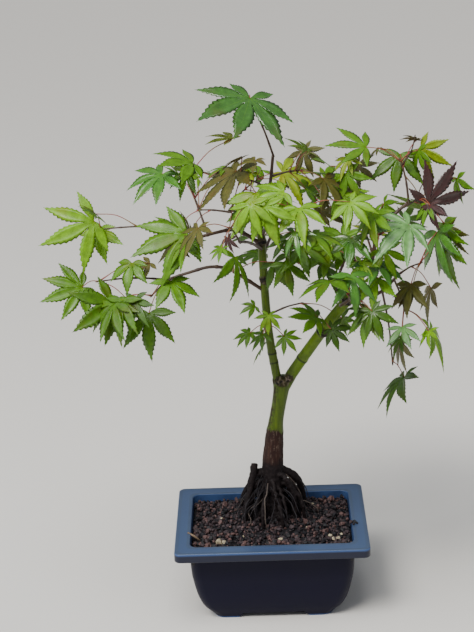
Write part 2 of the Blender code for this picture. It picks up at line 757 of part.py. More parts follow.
def grow(limbs):
    """Stems of all masses first, then leaves in turns, so that no mass takes all the room."""
    field = Field()
    for name, (path, radii) in limbs.items():
        field.add(tube(path, radii, sides_of(name)))
    masses = []
    for row in MASSES:
        for slide in STEM_SLIDES:
            mass = Mass(row, limbs, slide)
            first, last = STEM_RADII
            wide_stem = taper(first + GAP / 2, last + GAP / 2, len(mass.path))
            if not field.touches(tube(mass.path, wide_stem, TWIG_SIDES)):
                break
        stem = tube(mass.path, taper(*STEM_RADII, len(mass.path)), TWIG_SIDES)
        mass.shapes.append(stem)
        field.add(stem)
        masses.append(mass)
    for place, (share, turn, size) in enumerate(LEAF_PLACES):
        for mass in masses:
            if place >= mass.most_leaves:
                continue
            at, along = place_on(mass.path, share)
            grow_leaf(mass, masses, field, at, along, math.radians(turn), size)
    return masses


def limb_paths():
    """Each limb's path and radii. A limb starts just clear of its host."""
    limbs = {"trunk": (trunk_path(), [row[2] for row in TRUNK_RINGS])}
    fork = limbs["trunk"][0][-1]
    for name, host, share, bends, tip, first, last in LIMBS:
        tip = Vector(tip)
        if share == "fork_left":
            start = fork + Vector((-FORK_SPREAD, 0.0, GAP))
        elif share == "fork_right":
            start = fork + Vector((FORK_SPREAD, 0.0, GAP))
        else:
            path, radii = limbs[host]
            anchor, along = place_on(path, share)
            host_radius = radii[0] + (radii[-1] - radii[0]) * share
            aim = (Vector(bends[0]) - anchor).normalized()
            if share >= 1.0:
                start = past_tip(anchor, along, aim, first)
            else:
                sideways = (aim - along * aim.dot(along)).normalized()
                slope = max(0.45, aim.dot(sideways))
                start = anchor + aim * ((host_radius + GAP + first * abs(aim.dot(along))) / slope)
        keys = (start, *bends, tip)
        length = sum((Vector(b) - Vector(a)).length for a, b in zip(keys, keys[1:]))
        count = max(4, round(length / TWIG_STEP) + 1)
        if host == "trunk":
            path = smooth_path(keys, count)
        else:
            solid = BVHTree.FromPolygons(*tube(*limbs[host], sides_of(host)))

            def bent(at, rest=(*bends, tip), count=count):
                return smooth_path((at, *rest), count)

            path = seat(bent, start, aim, first, BOUGH_SIDES, solid)
        limbs[name] = (path, taper(first, last, count))
    return limbs


def sides_of(limb):
    return LIMB_SIDES if limb in ("trunk", "leader", "right_bough") else BOUGH_SIDES


def build_limb(name, path, radii, host):
    start_normal = UP if host == "trunk" else None
    return make_object(name, tube(path, radii, sides_of(name), start_normal))


def centre_on_origin(root):
    """Moves the whole plant so that the middle of its outline stands over the origin."""
    bpy.context.view_layer.update()
    graph = bpy.context.evaluated_depsgraph_get()
    spans = [[], []]
    for obj in bpy.data.objects:
        if obj.type != "MESH" or obj.hide_render:
            continue
        mesh = obj.evaluated_get(graph).to_mesh()
        for axis in (0, 1):
            spans[axis].extend(v.co[axis] for v in mesh.vertices)
        obj.evaluated_get(graph).to_mesh_clear()
    root.location = (-(min(spans[0]) + max(spans[0])) / 2, -(min(spans[1]) + max(spans[1])) / 2, 0.0)


def main():
    clear_scene()
    root = bpy.data.objects.new("bonsai", None)
    bpy.context.scene.collection.objects.link(root)
    finish_object(build_pot(), root, POT_COLOUR, 0.55)
    finish_object(build_soil(), root, SOIL_COLOUR, 0.95)
    finish_object(build_trunk(), root, BARK_COLOUR, 0.75)
    limbs = limb_paths()
    for name, host, *_ in LIMBS:
        colour = BARK_COLOUR if host == "trunk" else TWIG_COLOUR
        finish_object(build_limb(name, *limbs[name], host), root, colour, 0.7)
    masses = grow(limbs)
    for mass in masses:
        finish_object(fuse("leaves_" + mass.name, mass.shapes), root, LEAF_COLOUR, 0.45)
    centre_on_origin(root)
    print(sum(len(mass.leaves) for mass in masses), "leaves")


main()
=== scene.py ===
"""Maple bonsai in its training pot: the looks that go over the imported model.

The plant's parts are made in the frame of the pot, with the middle of the pot over the origin
and the floor at Z = 0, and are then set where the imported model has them. Metres, +Z up, seen
from the front along +Y. The tree grows by the seeded rule of the model's source, so each spray
keeps to its own solid, and goes on from there to finer twigs. Leaves that the picture shows
clearly are then turned and moved to where it shows them, each still on its own stalk.
"""

import math
import random
from typing import NamedTuple

import bmesh
import bpy
import numpy as np
from bpy.props import FloatProperty, FloatVectorProperty, IntProperty, PointerProperty
from mathutils import Euler, Matrix, Vector, noise
from mathutils.bvhtree import BVHTree


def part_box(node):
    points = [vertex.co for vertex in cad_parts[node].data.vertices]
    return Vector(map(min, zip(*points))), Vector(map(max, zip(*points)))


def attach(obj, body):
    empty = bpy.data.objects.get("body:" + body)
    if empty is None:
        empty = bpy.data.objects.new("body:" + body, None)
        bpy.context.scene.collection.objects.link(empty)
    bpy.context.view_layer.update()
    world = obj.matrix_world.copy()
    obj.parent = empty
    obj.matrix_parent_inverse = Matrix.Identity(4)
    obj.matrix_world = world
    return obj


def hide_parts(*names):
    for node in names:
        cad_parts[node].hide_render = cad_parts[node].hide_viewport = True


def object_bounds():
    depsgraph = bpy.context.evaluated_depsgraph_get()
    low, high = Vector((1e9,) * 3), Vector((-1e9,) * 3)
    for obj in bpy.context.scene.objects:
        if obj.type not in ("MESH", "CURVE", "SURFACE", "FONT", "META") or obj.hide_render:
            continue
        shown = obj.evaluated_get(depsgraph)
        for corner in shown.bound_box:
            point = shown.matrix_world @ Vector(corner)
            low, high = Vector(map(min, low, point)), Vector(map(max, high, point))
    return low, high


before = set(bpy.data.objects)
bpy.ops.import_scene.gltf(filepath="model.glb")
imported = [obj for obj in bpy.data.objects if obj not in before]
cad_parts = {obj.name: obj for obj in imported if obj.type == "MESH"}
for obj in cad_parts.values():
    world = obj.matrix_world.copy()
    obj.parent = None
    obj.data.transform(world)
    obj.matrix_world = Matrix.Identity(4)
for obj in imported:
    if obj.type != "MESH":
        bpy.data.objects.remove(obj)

bl_info = {
    "name": "Maple Bonsai",
    "version": (1, 0, 0),
    "blender": (4, 5, 0),
    "location": "3D View > Sidebar > Bonsai",
    "description": "Pot, gravel, roots, bark, twigs and leaves of a young maple bonsai",
    "category": "Add Mesh",
}

MODEL_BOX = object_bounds()
POT_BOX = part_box("pot")
MIDDLE = (POT_BOX[0] + POT_BOX[1]) / 2
OFFSET = Vector((MIDDLE.x, MIDDLE.y, 0.0))
BOX_LOW, BOX_HIGH = MODEL_BOX[0] - OFFSET, MODEL_BOX[1] - OFFSET
UP = Vector((0.0, 0.0, 1.0))

# Pot
POT_WIDTH = 0.205
POT_DEPTH = 0.155
POT_HEIGHT = 0.092
RIM_WIDTH = 0.0158
LIP_HEIGHT = 0.0105
LIP_WALL = 0.0028
POT_WALL = 0.0026
FOOT_HEIGHT = 0.006
FOOT_WIDTH = 0.026
FOOT_DEPTH = 0.022
FLOOR_TOP = 0.0088
# Outer wall from the foot up: height, how far in from the rim's edge at the ends and at the sides
POT_OUTSIDE = (
    (0.0000, 0.0390, 0.0268),
    (0.0055, 0.0350, 0.0250),
    (0.0130, 0.0282, 0.0222),
    (0.0230, 0.0234, 0.0196),
    (0.0340, 0.0202, 0.0178),
    (0.0460, 0.0178, 0.0166),
    (0.0570, 0.0162, 0.0156),
    (0.0890, 0.0146, 0.0142),
)

# Soil
GAP = 0.0003
SOIL_EDGE = 0.0815
GROUND = 0.0895
MOUND_CENTRE = (0.003, 0.013)
MOUND_RADII = (0.049, 0.041)

# Trunk, leader and first bough: radii are half the measured widths
TRUNK_FOOT = (0.0020, 0.0180)
FOOT = Vector((*TRUNK_FOOT, 0.0))
# Height, sideways place of the axis, radius, how much wider than deep
TRUNK_RINGS = (
    (0.0850, 0.0022, 0.0215, 1.00),
    (0.0980, 0.0024, 0.0178, 1.00),
    (0.1140, 0.0028, 0.0142, 1.00),
    (0.1320, 0.0032, 0.0120, 1.00),
    (0.1480, 0.0036, 0.0113, 1.00),
    (0.1680, 0.0052, 0.0103, 1.00),
    (0.1870, 0.0071, 0.0091, 1.00),
    (0.1990, 0.0086, 0.0080, 1.00),
    (0.2180, 0.0122, 0.0078, 1.00),
    (0.2350, 0.0153, 0.0082, 1.06),
    (0.2470, 0.0172, 0.0086, 1.34),
)
FORK_SPREAD = 0.0061
FLARE_LOBES = 5
FLARE_DEPTH = 0.16
FLARE_TURN = 0.6
FLARE_TOP = 0.135

# Exposed roots
ROOT_COUNT = 10
ROOT_RADII = (0.0042, 0.0024)
ROOT_REACH = (0.024, 0.037)
ROOT_START = (0.112, 0.134)
ROOT_SEED = 11

# Limbs and stems as the source draws them
LIMB_SIDES = 8
BOUGH_SIDES = 6
TWIG_SIDES = 3
STEM_RADII = (0.0017, 0.0013)
TWIG_STEP = 0.022
# How far down its host a stem may start where another one has the place, as a share of the host
STEM_SLIDES = (0.0, 0.05, 0.10, 0.15, 0.20, 0.25)

# Leaves: the length is that of the middle lobe
LEAF_HALF_THICKNESS = 0.0011
LEAF_NOTCH = 0.34
LOBE_HALF_WIDTH = 0.15
LOBE_SHOULDER = 0.52
PETIOLE_RADIUS = 0.0008
PETIOLE_SHORT_OF_BLADE = 0.0035
# Leaves along a stem: share of its length, turn about it in degrees, size
LEAF_PLACES = (
    (0.97, 190, 1.00),
    (0.97, 10, 1.00),
    (0.98, 90, 0.90),
    (0.56, 250, 0.90),
    (0.56, 70, 0.90),
)
# Angle of each lobe from the middle one, and its length as a share
LEAF_PLANS = {
    5: ((0, 1.0), (43, 0.9), (92, 0.56)),
    7: ((0, 1.0), (38, 0.93), (77, 0.74), (122, 0.42)),
}
SEVEN_LOBED_SHARE = 0.4
LIGHT = Vector((0.05, -0.62, 0.78)).normalized()
CLEARANCE = 0.0005
# How near a limb or a stem comes to its host, and the steps in which it is brought there
SEAT = 0.00035
SEAT_STEPS = 16
# How far a leaf may stand from the middle of its mass, and how much nearer to another's
MASS_REACH = 0.088
MASS_SLACK = 0.022
LEAF_HEADROOM = 0.02
TRIES = 22

# Limbs after the trunk: name, host, place along the host, bend points, tip, first and last radius
LIMBS = (
    ("leader", "trunk", "fork_left", ((0.0042, 0.018, 0.312),),
     (-0.0010, 0.018, 0.412), 0.0047, 0.0043),
    ("right_bough", "trunk", "fork_right", ((0.0560, 0.004, 0.2985), (0.0901, -0.005, 0.3446)),
     (0.1063, -0.008, 0.3506), 0.0052, 0.0044),
    ("upper_left_bough", "leader", 0.93, ((-0.030, 0.004, 0.418),),
     (-0.0730, -0.010, 0.4130), 0.0022, 0.0015),
    ("low_left_bough", "leader", 0.68, ((-0.045, 0.007, 0.378),),
     (-0.0980, 0.000, 0.3685), 0.0020, 0.0014),
    ("top_bough", "leader", 1.00, ((0.0085, 0.020, 0.452),),
     (0.0135, 0.020, 0.4900), 0.0022, 0.0015),
    ("inner_right_bough", "leader", 0.70, ((0.012, 0.004, 0.374),),
     (0.0220, -0.006, 0.3840), 0.0017, 0.0013),
    ("upper_right_bough", "right_bough", 1.00, ((0.1105, -0.012, 0.385), (0.1200, -0.006, 0.416)),
     (0.1480, 0.006, 0.4400), 0.0025, 0.0015),
    ("outer_right_bough", "right_bough", 0.80, ((0.1150, -0.026, 0.3540),),
     (0.1360, -0.020, 0.3720), 0.0020, 0.0015),
    ("front_bough", "leader", 0.97, ((0.008, -0.012, 0.428),),
     (0.0180, -0.036, 0.4360), 0.0019, 0.0014),
    ("front_left_bough", "leader", 0.90, ((-0.012, -0.016, 0.410),),
     (-0.0220, -0.044, 0.4200), 0.0018, 0.0013),
    ("front_right_bough", "right_bough", 0.80, ((0.076, -0.034, 0.346),),
     (0.0840, -0.058, 0.3600), 0.0018, 0.0013),
    ("back_bough", "leader", 0.86, ((0.006, 0.052, 0.388),),
     (0.0130, 0.082, 0.3900), 0.0021, 0.0014),
    ("back_left_bough", "leader", 0.99, ((-0.014, 0.048, 0.416),),
     (-0.0320, 0.076, 0.4180), 0.0020, 0.0014),
    ("back_right_bough", "right_bough", 0.62, ((0.076, 0.046, 0.338),),
     (0.0900, 0.080, 0.3620), 0.0020, 0.0014),
)

# Leaf masses: name, host limb, place along it, where the stem ends, most leaves, leaf length,
# how much its leaves hang, seed
MASSES = (
    ("apex", "top_bough", 1.00, (-0.0090, 0.012, 0.549), 1, 0.062, 0.85, 9),
    ("upper_middle", "top_bough", 0.72, (0.0410, 0.026, 0.472), 5, 0.046, 0.30, 2),
    ("upper_inner_left", "top_bough", 0.55, (-0.0200, -0.018, 0.478), 4, 0.048, 0.45, 3),
    ("upper_front", "front_bough", 1.00, (0.0340, -0.072, 0.458), 5, 0.052, 0.40, 4),
    ("left_top", "upper_left_bough", 0.80, (-0.0760, 0.030, 0.468), 5, 0.045, 0.30, 5),
    ("left_front", "upper_left_bough", 1.00, (-0.0860, -0.050, 0.424), 3, 0.058, 0.45, 6),
    ("far_left_upper", "upper_left_bough", 1.00, (-0.1660, 0.000, 0.424), 4, 0.051, 0.40, 7),
    ("far_left_lower", "low_left_bough", 1.00, (-0.1680, -0.016, 0.374), 5, 0.051, 0.40, 8),
    ("left_lower", "low_left_bough", 1.00, (-0.1120, -0.048, 0.368), 4, 0.049, 0.50, 9),
    ("inner_left", "low_left_bough", 0.45, (-0.0300, -0.018, 0.380), 2, 0.044, 0.60, 10),
    ("trunk_sprig", "leader", 0.42, (0.0010, -0.004, 0.318), 4, 0.027, 0.40, 11),
    ("inner_right", "inner_right_bough", 1.00, (0.0380, -0.028, 0.390), 3, 0.044, 0.60, 12),
    ("inner_low_right", "leader", 0.55, (0.0380, 0.000, 0.338), 3, 0.034, 0.40, 13),
    ("upper_right_inner", "upper_right_bough", 0.42, (0.0900, 0.030, 0.468), 5, 0.044, 0.30, 14),
    ("right_top", "upper_right_bough", 1.00, (0.1420, 0.022, 0.480), 5, 0.043, 0.35, 15),
    ("far_right", "upper_right_bough", 1.00, (0.1600, -0.002, 0.446), 5, 0.045, 0.50, 16),
    ("right_front", "upper_right_bough", 0.60, (0.1160, -0.054, 0.426), 5, 0.053, 0.50, 17),
    ("right_middle", "right_bough", 0.93, (0.0920, -0.044, 0.396), 5, 0.048, 0.45, 18),
    ("far_right_low", "outer_right_bough", 1.00, (0.1580, -0.026, 0.386), 5, 0.046, 0.70, 19),
    ("lower_right", "outer_right_bough", 0.90, (0.1400, -0.044, 0.344), 3, 0.048, 0.55, 20),
    ("lowest_right", "outer_right_bough", 0.60, (0.1310, -0.010, 0.272), 2, 0.045, 0.90, 21),
    ("front_left", "front_left_bough", 1.00, (-0.0300, -0.080, 0.446), 2, 0.048, 0.50, 22),
    ("front_right", "front_right_bough", 1.00, (0.0820, -0.094, 0.378), 4, 0.046, 0.45, 23),
    ("back_high", "back_left_bough", 1.00, (-0.0020, 0.108, 0.442), 5, 0.046, 0.30, 24),
    ("back_left", "back_left_bough", 1.00, (-0.0680, 0.106, 0.410), 4, 0.047, 0.35, 25),
    ("back_low", "back_bough", 1.00, (0.0180, 0.128, 0.372), 4, 0.047, 0.45, 26),
    ("back_middle", "back_bough", 0.80, (0.0580, 0.096, 0.420), 4, 0.046, 0.35, 27),
    ("back_right", "back_right_bough", 1.00, (0.1240, 0.114, 0.386), 5, 0.047, 0.40, 28),
)


# Shapes and growth, by the rule of the model's source


def loft(rings):
    """Joins rings of the same count, which run anticlockwise seen from the way they climb."""
    count = len(rings[0])
    points = [p for ring in rings for p in ring]
    last = (len(rings) - 1) * count
    faces = []
    for low in range(0, last, count):
        high = low + count
        for i in range(count):
            j = (i + 1) % count
            faces.append((low + i, low + j, high + j))
            faces.append((low + i, high + j, high + i))
    faces.append(tuple(reversed(range(count))))
    faces.append(tuple(range(last, last + count)))
    return points, faces


def smooth_path(keys, count):
    """Points along a smooth curve through the keys."""
    keys = [Vector(k) for k in keys]
    ends = [keys[0] * 2 - keys[1]] + keys + [keys[-1] * 2 - keys[-2]]
    points = []
    spans = len(keys) - 1
    for i in range(count):
        at = i / (count - 1) * spans
        span = min(int(at), spans - 1)
        t = at - span
        a, b, c, d = ends[span : span + 4]
        points.append(
            0.5
            * (
                2 * b
                + (c - a) * t
                + (2 * a - 5 * b + 4 * c - d) * t * t
                + (3 * b - a - 3 * c + d) * t * t * t
            )
        )
    return points


def place_on(path, share):
    """The point and the direction at this share of a path's points."""
    at = share * (len(path) - 1)
    i = min(int(at), len(path) - 2)
    return path[i].lerp(path[i + 1], at - i), (path[i + 1] - path[i]).normalized()


def past_tip(tip, along, aim, radius):
    """Where a limb that heads for aim starts, so that its first ring just clears its host's tip."""
    slant = math.sqrt(max(0.0, 1 - aim.dot(along) ** 2))
    return tip + along * (GAP * 1.3 + radius * slant)


def seat(make_path, start, aim, radius, sides, host):
    """Slides a limb's start back along its first direction until it nearly meets its host."""
    for _ in range(SEAT_STEPS):
        ring = tube(make_path(start)[:2], (radius, radius), sides)[0][:sides]
        edge = []
        for a, b in zip(ring, ring[1:] + ring[:1]):
            edge += [a, a.lerp(b, 0.25), a.lerp(b, 0.5), a.lerp(b, 0.75)]
        start = start - aim * (min(host.find_nearest(p)[3] for p in edge) - SEAT)
    return make_path(start)


def tube(path, radii, sides):
    """A closed tube along the path."""
    last = len(path) - 1
    side = (path[1] - path[0]).normalized().cross(Vector((0.13, 0.97, 0.21))).normalized()
    rings = []
    for i, (centre, radius) in enumerate(zip(path, radii)):
        tangent = (path[min(i + 1, last)] - path[max(i - 1, 0)]).normalized()
        side = (side - tangent * side.dot(tangent)).normalized()
        other = tangent.cross(side)
        ring = []
        for k in range(sides):
            angle = 2 * math.pi * k / sides
            ring.append(centre + (side * math.cos(angle) + other * math.sin(angle)) * radius)
        rings.append(ring)
    return loft(rings)


def taper(first, last, count):
    return [first + (last - first) * i / (count - 1) for i in range(count)]


def trunk_path():
    return [Vector((x, TRUNK_FOOT[1], height)) for height, x, *_ in TRUNK_RINGS]


def flared(height, angle, radius):
    """The trunk's radius in one direction, lobed towards the roots."""
    swell = max(0.0, (FLARE_TOP - height) / (FLARE_TOP - GROUND))
    return radius * (1 + FLARE_DEPTH * swell * math.cos(FLARE_LOBES * angle + FLARE_TURN))


class Field:
    """All that has grown so far, for keeping later pieces clear of it."""

    def __init__(self):
        self.points = []
        self.faces = []
        self.tree = None

    def add(self, shape):
        points, faces = shape
        base = len(self.points)
        self.points.extend(points)
        self.faces.extend(tuple(base + i for i in face) for face in faces)
        self.tree = None

    def touches(self, shape):
        if self.tree is None:
            self.tree = BVHTree.FromPolygons(self.points, self.faces)
        return bool(self.tree.overlap(BVHTree.FromPolygons(*shape)))


def lobes_in_order(plan):
    """Angle and size of each lobe, from one side of the petiole round to the other."""
    lobes = LEAF_PLANS[plan]
    return [(-angle, size) for angle, size in reversed(lobes[1:])] + list(lobes)


def leaf_outline(base, heading, normal, length, plan, fold, spread):
    """The outline of the pointed lobes and the notches between them."""
    across = normal.cross(heading)
    order = lobes_in_order(plan)

    def at(radius, angle, lift):
        turn = math.radians(angle)
        flat = heading * math.cos(turn) + across * math.sin(turn)
        sink = fold * radius * radius / length
        return base + flat * (radius * spread) + normal * (lift - sink)

    outline = []
    for i, (angle, size) in enumerate(order):
        tip = length * size
        shoulder = tip * LOBE_SHOULDER
        width = length * LOBE_HALF_WIDTH * (0.2 + 0.8 * size)
        swing = math.degrees(math.atan2(width, shoulder))
        near = math.hypot(shoulder, width)
        if i > 0:
            before_angle, before_size = order[i - 1]
            notch = LEAF_NOTCH * length * min(size, before_size)
            outline.append(at(notch, (angle + before_angle) / 2, length * 0.012))
        outline.append(at(near, angle - swing, -length * 0.010))
        outline.append(at(tip, angle, 0.0))
        outline.append(at(near, angle + swing, -length * 0.010))
    return outline


def leaf(stalk, heading, normal, length, plan, fold, more=0.0):
    """One closed solid: a three-sided petiole that opens into a palmate blade.

    The blade is a lens, thickest where its lobes meet. more thickens it all over.
    """
    base = stalk[-1]
    half = LEAF_HALF_THICKNESS + more
    radius = PETIOLE_RADIUS + more
    outline = leaf_outline(base, heading, normal, length, plan, fold, 1 + more * 60)
    path = [*stalk[:-1], base - heading * PETIOLE_SHORT_OF_BLADE]
    points = []
    up = normal
    tangents = [(path[i + 1] - path[i]).normalized() for i in range(len(path) - 1)] + [heading]
    for centre, tangent in reversed(list(zip(path, tangents))):
        up = (up - tangent * up.dot(tangent)).normalized()
        left = up.cross(tangent)
        points.append(centre + up * radius)
        points.append(centre + (left * 0.866 - up * 0.5) * radius)
        points.append(centre + (left * -0.866 - up * 0.5) * radius)
    faces = []
    for ring in range(0, 3 * (len(path) - 1), 3):
        for i in range(3):
            j = (i + 1) % 3
            faces.append((ring + i, ring + j, ring + 3 + j))
            faces.append((ring + i, ring + 3 + j, ring + 3 + i))
    end = 3 * (len(path) - 1)
    faces.append((end, end + 1, end + 2))
    first = len(points)
    last = first + len(outline) - 1
    top = last + 1
    under = last + 2
    points += outline + [base + normal * half, base - normal * half]
    for i in range(first, last):
        faces.append((i, i + 1, top))
        faces.append((i + 1, i, under))
    faces += [(0, first, top), (0, top, last), (0, last, 1), (1, last, under)]
    faces += [(1, under, 2), (2, under, first), (2, first, 0)]
    return points, faces


class Mass:
    def __init__(self, row, limbs, slide):
        self.name, self.host, share, tip, self.most_leaves, self.leaf_length, self.hang, seed = row
        self.share = share - slide
        self.tip = Vector(tip)
        self.rng = random.Random(seed * 101 + 7)
        self.radius = STEM_RADII[0]
        self.shapes = []
        self.leaves = []
        self.path = self.stem_path(*limbs[self.host])
        self.centre = self.path[0].lerp(self.tip, 0.75)

    def stem_path(self, path, radii):
        """From just clear of the host, in a shallow arc to the stem's tip."""
        anchor, along = place_on(path, self.share)
        host_radius = radii[0] + (radii[-1] - radii[0]) * self.share
        aim = (self.tip - anchor).normalized()
        if self.share >= 1.0:
            aim = (aim + along * 0.8).normalized()
            start = past_tip(anchor, along, aim, self.radius)
        else:
            sideways = (aim - along * aim.dot(along)).normalized()
            aim = (aim + sideways * 0.7).normalized()
            away = (host_radius + GAP + self.radius * 0.4) / max(0.5, aim.dot(sideways))
            start = anchor + aim * away
        host = BVHTree.FromPolygons(*tube(path, radii, sides_of(self.host)))
        return seat(lambda at: self.arc(at, aim), start, aim, self.radius, TWIG_SIDES, host)

    def arc(self, start, aim):
        length = (self.tip - start).length
        middle = start.lerp(self.tip, 0.45) + aim * (length * 0.07) + UP * (length * 0.05)
        count = max(3, round(length / TWIG_STEP) + 1)
        return smooth_path((start, middle, self.tip), count)


def in_space(mass, masses, points, blade_centre):
    """A mass keeps to the points that are nearer to its own centre than to another's."""
    own = (blade_centre - mass.centre).length
    if own > MASS_REACH:
        return False
    for other in masses:
        if other is not mass and (blade_centre - other.centre).length + MASS_SLACK < own:
            return False
    return min(p.z for p in points) > GROUND + LEAF_HEADROOM


def leaf_pose(mass, at, along, turn, tries_left):
    """Where a petiole and its blade would go, a little different on each try."""
    rng = mass.rng
    side = along.cross(UP)
    if side.length < 0.2:
        side = along.cross(Vector((0.0, 1.0, 0.0)))
    side.normalize()
    lift = side.cross(along).normalized()
    loose = 0.35 + 0.65 * (1 - tries_left / TRIES)
    angle = turn + rng.uniform(-0.5, 0.5) * loose * 2
    out = side * math.cos(angle) + lift * math.sin(angle) * 0.8
    lean = rng.uniform(0.35, 0.95)
    heading = (along * lean + out + UP * 0.15).normalized()
    reach = mass.leaf_length * rng.uniform(0.45, 0.80)
    base = at + heading * reach - UP * (reach * 0.10)
    middle = at.lerp(base, 0.5) + UP * (reach * 0.07)
    flat = Vector((heading.x, heading.y, 0.0)) + Vector((base.x - 0.01, base.y - 0.02, 0.0)) * 3.0
    flat.normalize()
    droop = rng.uniform(0.1, 0.5) + 0.9 * mass.hang
    normal = (UP * math.cos(droop) + flat * math.sin(droop)).normalized()
    pull = rng.uniform(0.35, 0.75)
    wild = Vector((rng.uniform(-1, 1), rng.uniform(-1, 1), rng.uniform(-0.5, 0.5))) * 0.22
    normal = (normal * (1 - pull) + LIGHT * pull + wild).normalized()
    point = flat * (1.1 - mass.hang) - UP * (mass.hang + rng.uniform(-0.3, 0.3))
    point = (point - normal * point.dot(normal)).normalized()
    return base, middle, point, normal


def grow_leaf(mass, masses, field, at, along, turn, size):
    rng = mass.rng
    plan = 7 if rng.random() < SEVEN_LOBED_SHARE else 5
    length = mass.leaf_length * size * rng.uniform(0.86, 1.10)
    for tries_left in range(TRIES, 0, -1):
        base, middle, heading, normal = leaf_pose(mass, at, along, turn, tries_left)
        fold = rng.uniform(0.04, 0.22)
        shape = leaf((at, middle, base), heading, normal, length, plan, fold)
        if not in_space(mass, masses, shape[0][9:], base + heading * (length * 0.4)):
            continue
        away = at + (middle - at).normalized() * (mass.radius + 0.0022)
        if field.touches(leaf((away, middle, base), heading, normal, length, plan, fold, CLEARANCE)):
            continue
        field.add(shape)
        mass.shapes.append(shape)
        mass.leaves.append(((at, middle, base), heading, normal, length, plan, fold))
        return True
    return False


def grow(limbs):
    """Stems of all masses first, then leaves in turns, so that no mass takes all the room."""
    field = Field()
    for name, (path, radii) in limbs.items():
        field.add(tube(path, radii, sides_of(name)))
    masses = []
    for row in MASSES:
        for slide in STEM_SLIDES:
            mass = Mass(row, limbs, slide)
            first, last = STEM_RADII
            wide_stem = taper(first + GAP / 2, last + GAP / 2, len(mass.path))
            if not field.touches(tube(mass.path, wide_stem, TWIG_SIDES)):
                break
        stem = tube(mass.path, taper(*STEM_RADII, len(mass.path)), TWIG_SIDES)
        mass.shapes.append(stem)
        field.add(stem)
        masses.append(mass)
    for place, (share, turn, size) in enumerate(LEAF_PLACES):
        for mass in masses:
            if place < mass.most_leaves:
                at, along = place_on(mass.path, share)
                grow_leaf(mass, masses, field, at, along, math.radians(turn), size)
    return masses, field


def limb_paths():
    """Each limb's path and radii. A limb starts just clear of its host."""
    limbs = {"trunk": (trunk_path(), [row[2] for row in TRUNK_RINGS])}
    fork = limbs["trunk"][0][-1]
    for name, host, share, bends, tip, first, last in LIMBS:
        tip = Vector(tip)
        if host == "trunk":
            side = -FORK_SPREAD if share == "fork_left" else FORK_SPREAD
            start = fork + Vector((side, 0.0, GAP))
        else:
            path, radii = limbs[host]
            anchor, along = place_on(path, share)
            host_radius = radii[0] + (radii[-1] - radii[0]) * share
            aim = (Vector(bends[0]) - anchor).normalized()
            if share >= 1.0:
                start = past_tip(anchor, along, aim, first)
            else:
                sideways = (aim - along * aim.dot(along)).normalized()
                slope = max(0.45, aim.dot(sideways))
                start = anchor + aim * ((host_radius + GAP + first * abs(aim.dot(along))) / slope)
        keys = (start, *bends, tip)
        length = sum((Vector(b) - Vector(a)).length for a, b in zip(keys, keys[1:]))
        count = max(4, round(length / TWIG_STEP) + 1)
        if host == "trunk":
            path = smooth_path(keys, count)
        else:
            solid = BVHTree.FromPolygons(*tube(*limbs[host], sides_of(host)))

            def bent(at, rest=(*bends, tip), count=count):
                return smooth_path((at, *rest), count)

            path = seat(bent, start, aim, first, BOUGH_SIDES, solid)
        limbs[name] = (path, taper(first, last, count))
    return limbs


def sides_of(limb):
    return LIMB_SIDES if limb in ("trunk", "leader", "right_bough") else BOUGH_SIDES


# Mesh helpers


class Heap:
    """Points and faces that gather into one mesh, with the number of a finish for each face."""

    def __init__(self):
        self.points = []
        self.faces = []
        self.finishes = []

    def add(self, shape, finish=0):
        points, faces = shape
        base = len(self.points)
        self.points.extend(tuple(p) for p in points)
        self.faces.extend(tuple(base + i for i in face) for face in faces)
        self.finishes.extend([finish] * len(faces))

    def build(self, name, materials, smooth=True):
        mesh = bpy.data.meshes.new(name)
        mesh.from_pydata(self.points, [], self.faces)
        for material in materials:
            mesh.materials.append(material)
        mesh.polygons.foreach_set("material_index", self.finishes)
        mesh.polygons.foreach_set("use_smooth", [smooth] * len(self.faces))
        mesh.update()
        obj = bpy.data.objects.new(name, mesh)
        bpy.context.scene.collection.objects.link(obj)
        obj.location = OFFSET
        return obj


def apply_modifiers(obj):
    bpy.context.view_layer.update()
    graph = bpy.context.evaluated_depsgraph_get()
    mesh = bpy.data.meshes.new_from_object(obj.evaluated_get(graph))
    old = obj.data
    obj.modifiers.clear()
    obj.data = mesh
    bpy.data.meshes.remove(old)


def settle(piece, slot, *nodes):
    """The piece goes with the one rigid body, and stands for these solids."""
    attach(piece, "root")
    if nodes:
        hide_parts(*nodes)


def smoothstep(low, high, value):
    t = min(1.0, max(0.0, (value - low) / (high - low)))
    return t * t * (3 - 2 * t)


def rows_through(rows, count):
    """Rows of numbers along a smooth curve through the given rows."""
    width = len(rows[0])
    columns = []
    for first in range(0, width, 3):
        keys = [[*row[first : first + 3], 0.0, 0.0][:3] for row in rows]
        columns.append(smooth_path(keys, count))
    return [tuple(value for part in parts for value in part)[:width] for parts in zip(*columns)]


# Shader helpers


class Strand:
    """A value on its way through a material's nodes, with the usual arithmetic."""

    def __init__(self, finish, socket):
        self.finish = finish
        self.socket = socket

    def _maths(self, operation, first, second):
        values = {0: first, 1: second}
        return self.finish.node("ShaderNodeMath", {"operation": operation}, values)

    def __add__(self, other):
        return self._maths("ADD", self, other)

    def __sub__(self, other):
        return self._maths("SUBTRACT", self, other)

    def __mul__(self, other):
        return self._maths("MULTIPLY", self, other)

    def __rsub__(self, other):
        return self._maths("SUBTRACT", other, self)

    __radd__ = __add__
    __rmul__ = __mul__


